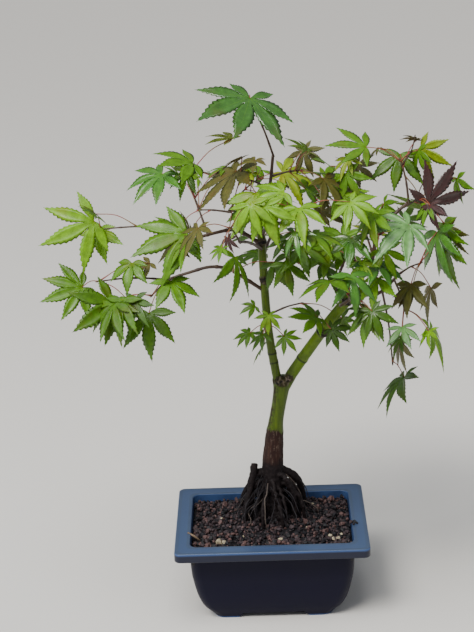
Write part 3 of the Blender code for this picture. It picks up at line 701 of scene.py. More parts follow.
class Finish:
    """A material: its shader, and the one method that adds any node to it."""

    def __init__(self, name, colour, roughness, **constants):
        self.material = bpy.data.materials.new(name)
        self.material.use_nodes = True
        self.tree = self.material.node_tree
        self.shader = self.tree.nodes["Principled BSDF"]
        self.shader.inputs["Base Color"].default_value = (*colour, 1.0)
        self.shader.inputs["Roughness"].default_value = roughness
        for socket, value in constants.items():
            self.shader.inputs[socket.replace("_", " ")].default_value = value
        self.material.diffuse_color = (*colour, 1.0)

    def node(self, kind, settings=None, values=None, out=0):
        made = self.tree.nodes.new(kind)
        for name, setting in (settings or {}).items():
            if name == "stops":
                fill_ramp(made.color_ramp, setting)
            else:
                setattr(made, name, setting)
        for name, value in (values or {}).items():
            self.feed(made.inputs[name], value)
        return Strand(self, made.outputs[out])

    def feed(self, socket, value):
        if isinstance(value, Strand):
            self.tree.links.new(value.socket, socket)
        else:
            socket.default_value = value

    def place(self):
        return self.node("ShaderNodeTexCoord", out="Object")

    def grain(self, scale, detail=3.0, roughness=0.55, stretch=(1.0, 1.0, 1.0)):
        """Noise between 0 and 1 over the piece, finer as scale rises."""
        values = {"Vector": self.place(), "Scale": stretch}
        where = self.node("ShaderNodeMapping", {"vector_type": "POINT"}, values)
        values = {"Vector": where, "Scale": scale, "Detail": detail, "Roughness": roughness}
        return self.node("ShaderNodeTexNoise", None, values)

    def ramp(self, value, *stops):
        """Two stops of (place, grey)."""
        return self.node("ShaderNodeValToRGB", {"stops": stops}, {"Fac": value})

    def patches(self, low, high, *grain):
        """Soft patches: 0 where the noise is below low, 1 where it is above high."""
        return self.ramp(self.grain(*grain), (low, 0.0), (high, 1.0))

    def mix(self, share, first, second):
        """Each side is a strand or a plain colour."""
        first, second = (v if isinstance(v, Strand) else (*v, 1.0) for v in (first, second))
        values = {0: share, 6: first, 7: second}
        return self.node("ShaderNodeMix", {"data_type": "RGBA"}, values, out=2)

    def height(self):
        """How high above the floor."""
        return self.node("ShaderNodeSeparateXYZ", None, {"Vector": self.place()}, out="Z")

    def colour(self, strand):
        self.feed(self.shader.inputs["Base Color"], strand)

    def roughen(self, strand):
        self.feed(self.shader.inputs["Roughness"], strand)

    def bump(self, strand, depth, strength=1.0):
        values = {"Height": strand, "Distance": depth, "Strength": strength}
        self.feed(self.shader.inputs["Normal"], self.node("ShaderNodeBump", None, values))


def fill_ramp(ramp, stops):
    for element, (place, grey) in zip(ramp.elements, stops):
        element.position = place
        element.color = (grey, grey, grey, 1.0)


# Settings


def colour_setting(name, description, default):
    return FloatVectorProperty(
        name=name, description=description, default=default, subtype="COLOR", size=3, min=0, max=1
    )


def length_setting(name, description, default):
    return FloatProperty(
        name=name, description=description, default=default, min=0, subtype="DISTANCE", unit="LENGTH"
    )


class PotSettings(bpy.types.PropertyGroup):
    # Rim and inside are lit copies of the plastic, skirt and wall are shaded ones: painted light and shade.
    # The edge colour is a painted highlight.
    rim: colour_setting("Rim", "Colour of the rim's top, painted lighter as if lit", (0.044, 0.070, 0.128))
    skirt: colour_setting("Skirt", "Colour of the edge under the rim", (0.0022, 0.0050, 0.0240))
    wall: colour_setting("Wall", "Colour of the wall and feet", (0.0040, 0.0034, 0.0170))
    painted_highlight: colour_setting("Painted edge highlight", "Colour of the rim's edge and of the feet", (0.046, 0.104, 0.280))
    inside: colour_setting("Inside", "Colour of the wall above the soil", (0.036, 0.074, 0.190))
    edge: length_setting("Edge", "Radius of the rim's rounded edges", 0.0014)


class GravelSettings(bpy.types.PropertyGroup):
    grain: length_setting("Grain", "Usual width of a grain", 0.0046)
    red: colour_setting("Red lava", "Colour of the reddish grains", (0.092, 0.048, 0.044))
    brown: colour_setting("Brown lava", "Colour of the brown grains", (0.034, 0.020, 0.023))
    black: colour_setting("Black lava", "Colour of the dark grains", (0.0036, 0.0026, 0.0050))
    pale: colour_setting("Pumice", "Colour of the few pale grains", (0.42, 0.36, 0.24))


class BarkSettings(bpy.types.PropertyGroup):
    green: colour_setting("Green bark", "Colour of the young bark", (0.066, 0.118, 0.0006))
    brown: colour_setting("Brown bark", "Colour of the flaky lower bark", (0.0175, 0.0048, 0.0032))
    root: colour_setting("Roots", "Colour of the exposed roots", (0.0034, 0.0022, 0.0034))
    twig: colour_setting("Twigs", "Colour of boughs and twigs", (0.040, 0.018, 0.012))
    stalk: colour_setting("Leaf stalks", "Colour of the leaf stalks", (0.300, 0.045, 0.040))
    voxel: length_setting("Fusing step", "Step at which trunk and roots are fused", 0.0007)


class LeafSettings(bpy.types.PropertyGroup):
    teeth: IntProperty(name="Teeth", description="Teeth along a lobe's edge", default=9, min=2, max=12)
    thickness: length_setting("Thickness", "Thickness of a leaf at its midribs", 0.0004)
    relief: length_setting("Relief", "How far the blade swells between its side veins", 0.00028)


class StageSettings(bpy.types.PropertyGroup):
    floor: colour_setting("Floor", "Colour of the plain floor", (0.76, 0.74, 0.70))


SETTINGS = {
    "bonsai_pot": PotSettings,
    "bonsai_gravel": GravelSettings,
    "bonsai_bark": BarkSettings,
    "bonsai_leaves": LeafSettings,
    "bonsai_stage": StageSettings,
}


# Pot

POT_CORNER_STEPS = 14
WALL_ROWS = 30
INSIDE_ROWS = 16
# Corner radii of the outer wall, the rim and the wall inside
WALL_CORNER = 0.0120
RIM_CORNER = 0.0066
INSIDE_CORNER = 0.0100
# The rim's inner edge: its radius, how far it overhangs, and how deep the rim is dished
INNER_EDGE = 0.0012
OVERHANG = 0.0008
RIM_DISH = 0.00035
# How far the foot of the skirt stands in from the rim's edge
SKIRT_IN = 0.0006
# Space between two feet: how far it widens downwards and how far its top is rounded
FOOT_SPLAY = 0.0015
FOOT_ROUNDING = 0.0045
# How squarely a face looks inward before it counts as the inside
INWARD = -0.3


def moulded(finish):
    """The fine pimples that moulded plastic has."""
    finish.bump(finish.grain(900.0, 2.0), 0.00010, 0.35)
    return finish.material


def rim_plastic(settings):
    """Moulded plastic, satin and dusty on top. The top is painted lighter as if lit, the skirt dark with
    painted shade, and a bluer painted highlight runs up to the edge.
    """
    finish = Finish("rim_plastic", settings.rim, 0.4, Specular_IOR_Level=0.45)
    height = finish.height() * 10.0
    # The top takes the rim colour, painted lighter as if lit from above; below it the skirt takes painted
    # shade
    on_top = finish.ramp(height, (0.9125, 0.0), (0.9155, 1.0))
    edge = finish.ramp(height, (0.8900, 0.0), (0.9125, 1.0))
    dust = finish.patches(0.42, 0.78, 28.0, 5.0, 0.62)
    # Painted highlight: the skirt's painted shade turns to a bright blue band up towards the rim's edge
    skirt = finish.mix(edge, settings.skirt, settings.painted_highlight)
    rim = finish.mix(dust * 0.45, settings.rim, (0.074, 0.110, 0.175))
    finish.colour(finish.mix(on_top, skirt, rim))
    scuffs = finish.grain(60.0, 4.0, 0.7, (1.0, 1.0, 0.25))
    finish.roughen(0.24 + dust * 0.20 + scuffs * 0.12)
    return moulded(finish)


def wall_plastic(settings):
    """The same plastic, duller and painted darker as if in shade, with rubbed patches and a painted
    highlight along the bottom edge of the feet.
    """
    finish = Finish("wall_plastic", settings.wall, 0.6, Specular_IOR_Level=0.16)
    rubbed = finish.patches(0.42, 0.78, 26.0, 5.0, 0.62)
    wall = finish.mix(rubbed * 0.25, settings.wall, (0.012, 0.012, 0.030))
    # Painted highlight along the bottom edge of the feet
    lowest = finish.ramp(finish.height() * 100.0, (0.10, 1.0), (0.22, 0.0))
    finish.colour(finish.mix(lowest * 0.8, wall, settings.painted_highlight))
    finish.roughen(0.42 + rubbed * 0.20 - lowest * 0.15)
    return moulded(finish)


def inner_plastic(settings):
    """The plastic inside the rim, bluer and painted lighter as if lit."""
    finish = Finish("inner_plastic", settings.inside, 0.45, Specular_IOR_Level=0.4)
    damp = finish.patches(0.40, 0.72, 45.0, 4.0, 0.6)
    finish.colour(finish.mix(damp * 0.6, settings.inside, settings.skirt))
    return moulded(finish)


def quarter_turn(steps, first=0):
    """The sine and the cosine of each step of a quarter turn."""
    for step in range(first, steps + 1):
        angle = math.radians(90) * step / steps
        yield math.sin(angle), math.cos(angle)


def pot_ring(height, in_x, in_y, corner):
    """A rounded rectangle, this far in from the rim's edge at the ends and at the sides."""
    centre_x = POT_WIDTH / 2 - in_x - corner
    centre_y = POT_DEPTH / 2 - in_y - corner
    points = []
    for quarter, (sign_x, sign_y) in enumerate(((1, 1), (-1, 1), (-1, -1), (1, -1))):
        for step in range(POT_CORNER_STEPS + 1):
            angle = math.radians(90) * (quarter + step / POT_CORNER_STEPS)
            x = sign_x * centre_x + corner * math.cos(angle)
            y = sign_y * centre_y + corner * math.sin(angle)
            points.append(Vector((x, y, height)))
    return points


def inside_profile():
    """The cavity's wall from the rim down to the floor, a wall's thickness inside the outer one."""
    rows = [(height, in_x + POT_WALL, in_y + POT_WALL) for height, in_x, in_y in POT_OUTSIDE]
    rows = [row for row in rows if FLOOR_TOP + 0.003 < row[0] < 0.080]
    low = rows[0]
    return [*reversed(rows), (FLOOR_TOP, low[1] + 0.0040, low[2] + 0.0030)]


def lip_rows(edge):
    """The skirt and the rim from below: height, how far in from the rim's edge, corner radius."""
    under = POT_HEIGHT - 0.0030
    skirt = POT_HEIGHT - LIP_HEIGHT
    rows = [
        (under, LIP_WALL + 0.0010, 0.0046),
        (under - 0.0008, LIP_WALL + 0.0002, 0.0048),
        (skirt + 0.0006, LIP_WALL, 0.0050),
        (skirt, LIP_WALL - 0.0005, 0.0054),
        (skirt, SKIRT_IN + 0.0004, 0.0062),
        (skirt + 0.0003, SKIRT_IN, 0.0064),
    ]
    for sine, cosine in quarter_turn(5, first=1):
        rows.append((skirt + 0.0003 + 0.0010 * (1 - cosine), SKIRT_IN * (1 - sine), RIM_CORNER))
    for sine, cosine in quarter_turn(6):
        rows.append((POT_HEIGHT - edge * (1 - sine), edge * (1 - cosine), RIM_CORNER))
    for share in (0.25, 0.5, 0.75):
        in_by = edge + (RIM_WIDTH - edge - OVERHANG) * share
        rows.append((POT_HEIGHT - RIM_DISH, in_by, RIM_CORNER + 0.0019 * share))
    for sine, cosine in quarter_turn(4):
        in_by = RIM_WIDTH - OVERHANG + INNER_EDGE * sine
        rows.append((POT_HEIGHT - INNER_EDGE * (1 - cosine), in_by, 0.0085))
    return rows


def pot_shape(edge):
    """Rings from under the feet, out over the skirt and the rim, and down inside to the floor."""
    rows = [(*row, WALL_CORNER) for row in rows_through(POT_OUTSIDE, WALL_ROWS)]
    rows += [(height, in_by, in_by, corner) for height, in_by, corner in lip_rows(edge)]
    rows += [(*row, INSIDE_CORNER) for row in rows_through(inside_profile(), INSIDE_ROWS)]
    return loft([pot_ring(*row) for row in rows])


def foot_gap(half, reach, along_x):
    """The space between two feet, with a rounded top, as a bar that cuts right through."""
    outline = [(-half - FOOT_SPLAY, -0.004), (half + FOOT_SPLAY, -0.004), (half, 0.001)]
    for sine, cosine in quarter_turn(6):
        height = 0.001 + (FOOT_HEIGHT - 0.001) * (1 - cosine) ** 0.6
        outline.append((half - FOOT_ROUNDING * sine, height))
    outline += [(-across, height) for across, height in reversed(outline[2:])]
    rings = []
    for end in (-reach, reach):
        if along_x:
            rings.append([Vector((end, across, height)) for across, height in outline])
        else:
            rings.append([Vector((across, -end, height)) for across, height in outline])
    return loft(rings)


class BONSAI_OT_pot(bpy.types.Operator):
    """Makes the pot: wide flat rim, skirt, curved wall and four corner feet"""

    bl_idname = "bonsai.pot"
    bl_label = "Pot"

    def execute(self, context):
        settings = context.scene.bonsai_pot
        heap = Heap()
        heap.add(pot_shape(settings.edge))
        finishes = [wall_plastic(settings), rim_plastic(settings), inner_plastic(settings)]
        pot = heap.build("training_pot", finishes)
        foot_half_x = POT_WIDTH / 2 - POT_OUTSIDE[0][1]
        foot_half_y = POT_DEPTH / 2 - POT_OUTSIDE[0][2]
        for half, reach, along_x in (
            (foot_half_x - FOOT_WIDTH, POT_DEPTH, False),
            (foot_half_y - FOOT_DEPTH, POT_WIDTH, True),
        ):
            bar = Heap()
            bar.add(foot_gap(half, reach, along_x))
            cutter = bar.build("foot_gap", [])
            cut = pot.modifiers.new("foot_gap", "BOOLEAN")
            cut.operation = "DIFFERENCE"
            cut.solver = "EXACT"
            cut.object = cutter
            apply_modifiers(pot)
            bpy.data.objects.remove(cutter, do_unlink=True)
        for face in pot.data.polygons:
            at = face.center
            # Rim and skirt take the finish with the painted lit top, shade and edge highlight, the wall the
            # darker painted-shade copy, the inside a lighter painted lit copy
            face.material_index = int(at.z > POT_HEIGHT - LIP_HEIGHT - 0.0001)
            inward = face.normal.dot(Vector((at.x, at.y, 0.0)).normalized()) < INWARD
            if inward and POT_HEIGHT - INNER_EDGE > at.z > FLOOR_TOP:
                face.material_index = 2
        pot.data.set_sharp_from_angle(angle=math.radians(38))
        settle(pot, "pot", "pot")
        return {"FINISHED"}


# Gravel

GRAVEL_SEED = 31
GRAVEL_LAYERS = 2
GRAVEL_SPACING = 0.86
# How far in from the rim's edge the bed and its grains end, and how clear of the trunk they stay
BED_INSET = 0.0172
GRAIN_INSET = 0.0185
TRUNK_CLEAR = 0.014
# The bed under the grains: squares across and along, how far it lies lower, where it ends below
BED_GRID = (60, 46)
BED_SINK = 0.0022
BED_UNDERSIDE = 0.070
# How much wider than the source's the mound is, and how far it heaps up at the roots
MOUND_SPREAD = (1.55, 1.45)
ROOT_HEAP = 0.0035
# Share of each kind of grain, in the order of the finishes
GRAVEL_KINDS = (("gravel_red", 0.20), ("gravel_brown", 0.40), ("gravel_black", 0.40))
# Pale grains: sideways, along, width
PALE_GRAINS = (
    (-0.0560, -0.0385, 0.0085),
    (-0.0500, -0.0400, 0.0060),
    (0.0090, -0.0385, 0.0070),
    (0.0620, -0.0330, 0.0060),
    (0.0705, -0.0370, 0.0055),
    (0.0655, -0.0390, 0.0044),
    (0.0740, -0.0300, 0.0034),
    (-0.0300, -0.0300, 0.0028),
    (0.0380, -0.0180, 0.0027),
    (-0.0540, 0.0100, 0.0030),
    (0.0460, 0.0360, 0.0036),
)
# Grains pushed up onto the rim: sideways, along, width
RIM_GRAINS = (
    (0.0850, -0.0190, 0.0056),
    (0.0892, -0.0172, 0.0046),
    (0.0880, -0.0222, 0.0042),
    (0.0915, -0.0196, 0.0032),
)
# Wood chip that leans on the rim: start and end, sideways and along, then its radii
CHIP_START = (-0.0895, -0.0300)
CHIP_END = (-0.0765, -0.0350)
CHIP_RADII = (0.0008, 0.0014, 0.0009)


def bed_height(x, y):
    """The top of the soil: low along the wall, and up to the roots in a mound."""
    near_x = (x - MOUND_CENTRE[0]) / (MOUND_RADII[0] * MOUND_SPREAD[0])
    near_y = (y - MOUND_CENTRE[1]) / (MOUND_RADII[1] * MOUND_SPREAD[1])
    rise = 1.0 - smoothstep(0.45, 1.0, math.hypot(near_x, near_y))
    heap_up = 1.0 - smoothstep(0.0, 0.040, math.hypot(x - TRUNK_FOOT[0], y - TRUNK_FOOT[1]))
    edge = SOIL_EDGE + 0.0022 + 0.0016 * smoothstep(-0.060, 0.060, y)
    return edge + (GROUND - edge) * rise + ROOT_HEAP * heap_up


def stone_ball():
    """A ball of eighty faces, as two arrays."""
    ball = bmesh.new()
    bmesh.ops.create_icosphere(ball, subdivisions=2, radius=0.5)
    points = np.array([v.co for v in ball.verts])
    faces = np.array([[v.index for v in f.verts] for f in ball.faces])
    ball.free()
    return points, faces


def stones(places, rng):
    """One mesh shape from rough lumps at (x, y, z, width)."""
    ball, triangles = stone_ball()
    count = len(places)
    spots = np.array(places)
    lumps = np.repeat(ball[None], count, axis=0)
    for _ in range(10):
        # Each cut presses one side of the ball flat
        side = rng.normal(size=(count, 1, 3))
        side /= np.linalg.norm(side, axis=2, keepdims=True)
        limit = rng.uniform(0.22, 0.42, (count, 1))
        past = np.maximum(0.0, (lumps * side).sum(axis=2) - limit)
        lumps -= past[..., None] * side
    lumps *= 1.0 + rng.uniform(-0.07, 0.07, lumps.shape[:2])[..., None]
    lumps *= rng.uniform(0.75, 1.15, (count, 1, 3))
    turns = [Euler(angles).to_matrix() for angles in rng.uniform(0, 2 * math.pi, (count, 3))]
    lumps = np.einsum("nij,nkj->nki", np.array(turns), lumps)
    lumps = lumps * spots[:, None, 3:4] + spots[:, None, :3]
    faces = triangles[None] + (np.arange(count) * len(ball))[:, None, None]
    return lumps.reshape(-1, 3).tolist(), faces.reshape(-1, 3).tolist()


def stone_finish(name, colour, contrast):
    """Porous lava: rough, with a mottled colour and small pits."""
    finish = Finish(name, colour, 0.62, Specular_IOR_Level=0.45)
    dark = tuple(c * (1 - contrast) for c in colour)
    light = tuple(min(1.0, c * (1 + contrast * 1.6) + 0.004) for c in colour)
    patches = finish.patches(0.30, 0.72, 260.0, 4.0, 0.6)
    finish.colour(finish.mix(patches, dark, light))
    finish.bump(finish.grain(2400.0, 3.0, 0.7), 0.00035, 0.8)
    return finish.material


def bed_shape():
    """The soil's surface between the grains, down to under the rim's wall."""
    across, along = BED_GRID
    half_x = POT_WIDTH / 2 - BED_INSET
    half_y = POT_DEPTH / 2 - BED_INSET
    points = []
    for j in range(along + 1):
        for i in range(across + 1):
            x = half_x * (2 * i / across - 1)
            y = half_y * (2 * j / along - 1)
            lump = noise.noise(Vector((x, y, 0.3)) * 260.0)
            points.append((x, y, bed_height(x, y) - BED_SINK + 0.0012 * lump))
    faces = []
    for j in range(along):
        for i in range(across):
            a = j * (across + 1) + i
            faces.append((a, a + 1, a + across + 2, a + across + 1))
    low = len(points)
    rim = list(range(across + 1))
    rim += [(across + 1) * (j + 1) - 1 for j in range(1, along + 1)]
    rim += [(across + 1) * along + i for i in reversed(range(across))]
    rim += [(across + 1) * j for j in reversed(range(1, along))]
    for i in rim:
        points.append((points[i][0], points[i][1], BED_UNDERSIDE))
    count = len(rim)
    for k in range(count):
        m = (k + 1) % count
        faces.append((rim[k], low + k, low + m, rim[m]))
    faces.append(tuple(low + k for k in reversed(range(count))))
    return points, faces


def scatter_grains(size, rng):
    """Places and widths of the lava grains of each kind, on a loose grid over the bed."""
    kinds = {name: [] for name, share in GRAVEL_KINDS}
    shares = np.cumsum([share for name, share in GRAVEL_KINDS])
    half_x = POT_WIDTH / 2 - GRAIN_INSET
    half_y = POT_DEPTH / 2 - GRAIN_INSET
    step = size * GRAVEL_SPACING
    for layer in range(GRAVEL_LAYERS):
        for j in range(int(2 * half_y / step) + 1):
            for i in range(int(2 * half_x / step) + 1):
                x, y = rng.uniform(-0.5, 0.5, 2) * step
                x += -half_x + (i + 0.5 * (layer % 2)) * step
                y += -half_y + (j + 0.5 * (layer % 2)) * step
                width = size * (0.50 + 1.15 * rng.uniform(0, 1) ** 1.8)
                sink = 0.0018 * layer - rng.uniform(-0.0014, 0.0018)
                kind = int(np.searchsorted(shares, rng.uniform(0, 0.999)))
                if abs(x) > half_x or abs(y) > half_y:
                    continue
                if math.hypot(x - TRUNK_FOOT[0], y - TRUNK_FOOT[1]) < TRUNK_CLEAR:
                    continue
                spot = (x, y, bed_height(x, y) - sink - 0.0006, width)
                kinds[GRAVEL_KINDS[kind][0]].append(spot)
    for i, (x, y, width) in enumerate(RIM_GRAINS):
        kinds[GRAVEL_KINDS[1 + i % 2][0]].append((x, y, POT_HEIGHT + width * 0.25, width))
    return kinds


def chip_shape():
    """The chip, thickest in its middle and bent up a little."""
    start = Vector((*CHIP_START, POT_HEIGHT + 0.0008))
    end = Vector((*CHIP_END, bed_height(*CHIP_END) + 0.0016))
    return tube([start, start.lerp(end, 0.5) + UP * 0.0006, end], CHIP_RADII, 7)


def lay(name, shape, finish, *nodes, smooth=True):
    """One piece of what fills the pot."""
    heap = Heap()
    heap.add(shape)
    settle(heap.build(name, [finish], smooth=smooth), "soil", *nodes)


class BONSAI_OT_gravel(bpy.types.Operator):
    """Fills the pot: the dark bed, thousands of lava grains and a few pale ones"""

    bl_idname = "bonsai.gravel"
    bl_label = "Gravel"

    def execute(self, context):
        settings = context.scene.bonsai_gravel
        rng = np.random.default_rng(GRAVEL_SEED)
        lay("soil_bed", bed_shape(), stone_finish("bed_soil", settings.black, 0.5), "soil")
        kinds = scatter_grains(settings.grain, rng)
        for name, colour in zip(kinds, (settings.red, settings.brown, settings.black)):
            lay(name, stones(kinds[name], rng), stone_finish(name, colour, 0.45), smooth=False)
        pale = [(x, y, bed_height(x, y) + 0.0012, width) for x, y, width in PALE_GRAINS]
        pumice = stone_finish("pumice", settings.pale, 0.25)
        lay("pumice_grains", stones(pale, rng), pumice, smooth=False)
        lay("wood_chip", chip_shape(), stone_finish("wood_chip", (0.17, 0.115, 0.070), 0.3))
        return {"FINISHED"}


# Bark of the trunk, its roots and the two thick limbs

BARK_SEED = 23
TRUNK_ROWS = 70
TRUNK_ROUND = 40
# Rings that round off the trunk's top between the two limbs: how far up, share of its radius
TRUNK_CAP = ((0.0018, 0.90), (0.0032, 0.66), (0.0040, 0.30))
# Rings left by buds and pruning: sideways, height, limb, how far the ring stands out
BUD_RINGS = (
    (0.0080, 0.2665, "leader", 0.00045),
    (0.0066, 0.2775, "leader", 0.00060),
    (0.0005, 0.3595, "leader", 0.00110),
    (-0.0007, 0.4000, "leader", 0.00120),
    (0.0373, 0.2729, "right_bough", 0.00060),
    (0.0580, 0.3070, "right_bough", 0.00130),
    (0.0834, 0.3422, "right_bough", 0.00110),
)
# Brown scars of bark over the fork and over buds: place, then how far it spreads
SCARS = (
    (Vector((0.0120, 0.0118, 0.2475)), 0.0052),
    (Vector((0.0170, 0.0108, 0.2470)), 0.0080),
    (Vector((0.0230, 0.0110, 0.2500)), 0.0062),
    (Vector((0.0600, -0.0016, 0.3050)), 0.0072),
    (Vector((0.0834, -0.0090, 0.3415)), 0.0056),
    (Vector((0.0005, 0.0138, 0.3590)), 0.0058),
    (Vector((-0.0007, 0.0138, 0.4000)), 0.0062),
)
# How far from its centre a bud ring still marks the bark
RING_REACH = 0.012
# How high the brown bark and the dark bark of the roots go
BROWN_TOP = 0.1905
ROOT_TOP = 0.1500
# How finely the bark's noises repeat; the last two are drawn out along the trunk
ROUGH_NOISE = 320.0
FINE_NOISE = 1100.0
GRAIN_NOISE = (900.0, 900.0, 120.0)
SPECK_NOISE = (1500.0, 1500.0, 700.0)
THIN_ROOTS = 30
ROOT_DETAIL = 12
# The knob at the left, the thick arched root at the right and the slimmer one inside it
KNOB_ROOT = (
    (-0.0160, 0.0150, 0.1500),
    (-0.0180, 0.0120, 0.1390),
    (-0.0225, 0.0070, 0.1200),
    (-0.0270, 0.0010, 0.1000),
    (-0.0290, -0.0020, 0.0850),
)
ARCH_ROOT = (
    (0.0060, 0.0190, 0.1410),
    (0.0150, 0.0195, 0.1390),
    (0.0245, 0.0210, 0.1330),
    (0.0315, 0.0240, 0.1230),
    (0.0350, 0.0285, 0.1070),
    (0.0365, 0.0320, 0.0850),
)
INNER_ARCH = (
    (0.0060, 0.0160, 0.1360),
    (0.0145, 0.0135, 0.1310),
    (0.0220, 0.0110, 0.1210),
    (0.0280, 0.0095, 0.1050),
    (0.0305, 0.0090, 0.0850),
)
# Cut stub: where it leaves the trunk, its end off the trunk's foot, its radii
STUB_START = 0.134
STUB_END = Vector((-0.0150, -0.004, 0.1400))
STUB_RADII = (0.0058, 0.0044)
LIMB_ROWS = 90
LIMB_ROUND = 28
# How far the drawn limbs swing off the source's halfway along, and how much thicker they are
LIMB_SWINGS = {"leader": Vector((-0.0014, 0.0, 0.0)), "right_bough": Vector((-0.0010, 0.0, 0.0008))}
LIMB_SWELLS = {"leader": 1.0, "right_bough": 1.18}


def trunk_core():
    rows = rows_through(TRUNK_RINGS, TRUNK_ROWS)
    top, x, radius, wide = TRUNK_RINGS[-1]
    rows += [(top + lift, x, radius * share, wide) for lift, share in TRUNK_CAP]
    rings = []
    for height, x, radius, wide in rows:
        ring = []
        for k in range(TRUNK_ROUND):
            angle = 2 * math.pi * k / TRUNK_ROUND
            reach = flared(height, angle, radius)
            across = x + reach * wide * math.cos(angle)
            ring.append(Vector((across, TRUNK_FOOT[1] + reach * math.sin(angle), height)))
        rings.append(ring)
    return loft(rings)


def outward(heading):
    """The level direction at this angle from the trunk, and the one square to it."""
    out = Vector((math.cos(heading), math.sin(heading), 0.0))
    return out, Vector((-out.y, out.x, 0.0))


def root_path(heading, reach, start, arch, wander, rng):
    """The source's path for a root, with small turns in it."""
    out, side = outward(heading)
    keys = (
        FOOT + out * 0.004 + UP * start,
        FOOT + out * (reach * 0.62) + UP * (start - 0.010 + arch * 0.5),
        FOOT + out * (reach * 0.95) + UP * ((start + GROUND) / 2 - 0.004 + arch * 0.3),
        FOOT + out * (reach * 1.05) + UP * (GROUND - 0.006),
    )
    path = smooth_path(keys, ROOT_DETAIL)
    for i in range(1, len(path)):
        path[i] += side * rng.uniform(-wander, wander) + UP * rng.uniform(-wander, wander) * 0.5
    return path


def thick_roots(rng):
    """Tubes for the source's roots, the thin ones between them, the knob, two arches and the stub."""
    source = random.Random(ROOT_SEED)
    tubes = []
    for i in range(ROOT_COUNT):
        heading = 2 * math.pi * (i + source.uniform(-0.28, 0.28)) / ROOT_COUNT
        reach = source.uniform(*ROOT_REACH)
        start = source.uniform(*ROOT_START)
        path = root_path(heading, reach, start, source.uniform(0.002, 0.010), 0.0010, rng)
        radii = taper(ROOT_RADII[0] * 0.85, ROOT_RADII[1] * 0.75, len(path))
        tubes.append(tube(path, [r * rng.uniform(0.82, 1.15) for r in radii], 10))
    for _ in range(THIN_ROOTS):
        heading = rng.uniform(0, 2 * math.pi)
        path = root_path(heading, rng.uniform(0.018, 0.034), rng.uniform(0.100, 0.142),
                         rng.uniform(-0.004, 0.014), 0.0030, rng)
        radii = taper(rng.uniform(0.0018, 0.0030), 0.0013, len(path))
        tubes.append(tube(path, [r * rng.uniform(0.85, 1.2) for r in radii], 8))
    knob = smooth_path(KNOB_ROOT, 14)
    tubes.append(tube(knob, [0.0037, 0.0041, 0.0040, *taper(0.0038, 0.0026, 11)], 12))
    for keys, first in ((ARCH_ROOT, 0.0052), (INNER_ARCH, 0.0042)):
        arch = smooth_path(keys, 18)
        tubes.append(tube(arch, [r * rng.uniform(0.9, 1.1) for r in taper(first, 0.0032, 18)], 12))
    stub = smooth_path((FOOT + UP * STUB_START, FOOT + STUB_END), 5)
    tubes.append(tube(stub, taper(*STUB_RADII, 5), 10))
    return tubes


def limb_line(limbs, name):
    """A thick limb's path, finer than the source's and with its small swing."""
    path = smooth_path(limbs[name][0], LIMB_ROWS)
    last = len(path) - 1
    return [p + LIMB_SWINGS[name] * math.sin(math.pi * i / last) for i, p in enumerate(path)]


def thick_limb(limbs, name, first_key):
    """A limb of the source drawn finer, and run back into the trunk."""
    first, last = (limbs[name][1][i] * LIMB_SWELLS[name] for i in (0, -1))
    fine = [Vector(first_key), *limb_line(limbs, name)[3:]]
    return tube(fine, taper(first, last, len(fine)), LIMB_ROUND)


def bud_ring_places(limbs):
    """For each ring: its centre on the limb, the limb's direction there, how far it stands out."""
    places = []
    for x, height, limb, stands in BUD_RINGS:
        path = limb_line(limbs, limb)
        aim = Vector((x, 0.0, height))
        near = min(range(1, len(path) - 1), key=lambda i: (Vector((path[i].x, 0.0, path[i].z)) - aim).length)
        places.append((path[near], (path[near + 1] - path[near - 1]).normalized(), stands))
    return places


def drawn_noise(p, scales):
    return noise.noise(Vector((p.x * scales[0], p.y * scales[1], p.z * scales[2])))


def bell(away, spread):
    return math.exp(-((away / spread) ** 2))


def ring_marks(p, rings, rough):
    """How far the bud rings near this point lift, darken and pale the bark."""
    lift = dark = pale = 0.0
    for centre, along, stands in rings:
        apart = p - centre
        if apart.length > RING_REACH:
            continue
        step = apart.dot(along) + 0.0005 * rough
        lift += stands * bell(step, 0.0022) - 0.0004 * bell(step, 0.0005)
        dark += 0.9 * bell(step, 0.00040 + 0.9 * stands)
        pale += 0.10 * bell(step - 0.0022, 0.0012)
    return lift, dark, pale


def scar_marks(p, rough):
    """How far the scars near this point lift, brown, darken and pale the bark."""
    lift = brown = dark = pale = 0.0
    for place, spread in SCARS:
        apart = (p - place).length
        if apart > spread * 1.4:
            continue
        callus = 1.0 - smoothstep(spread * 0.6, spread, apart + 0.0014 * rough)
        lift += callus * (0.0006 + 0.0012 * max(0.0, noise.noise(p * 420.0)))
        brown = max(brown, 0.8 * callus)
        dark += callus * 0.8 * smoothstep(0.05, 0.5, -noise.noise(p * 520.0))
        pale += callus * 0.50 * smoothstep(-0.15, 0.45, noise.noise(p * 380.0))
    return lift, brown, dark, pale


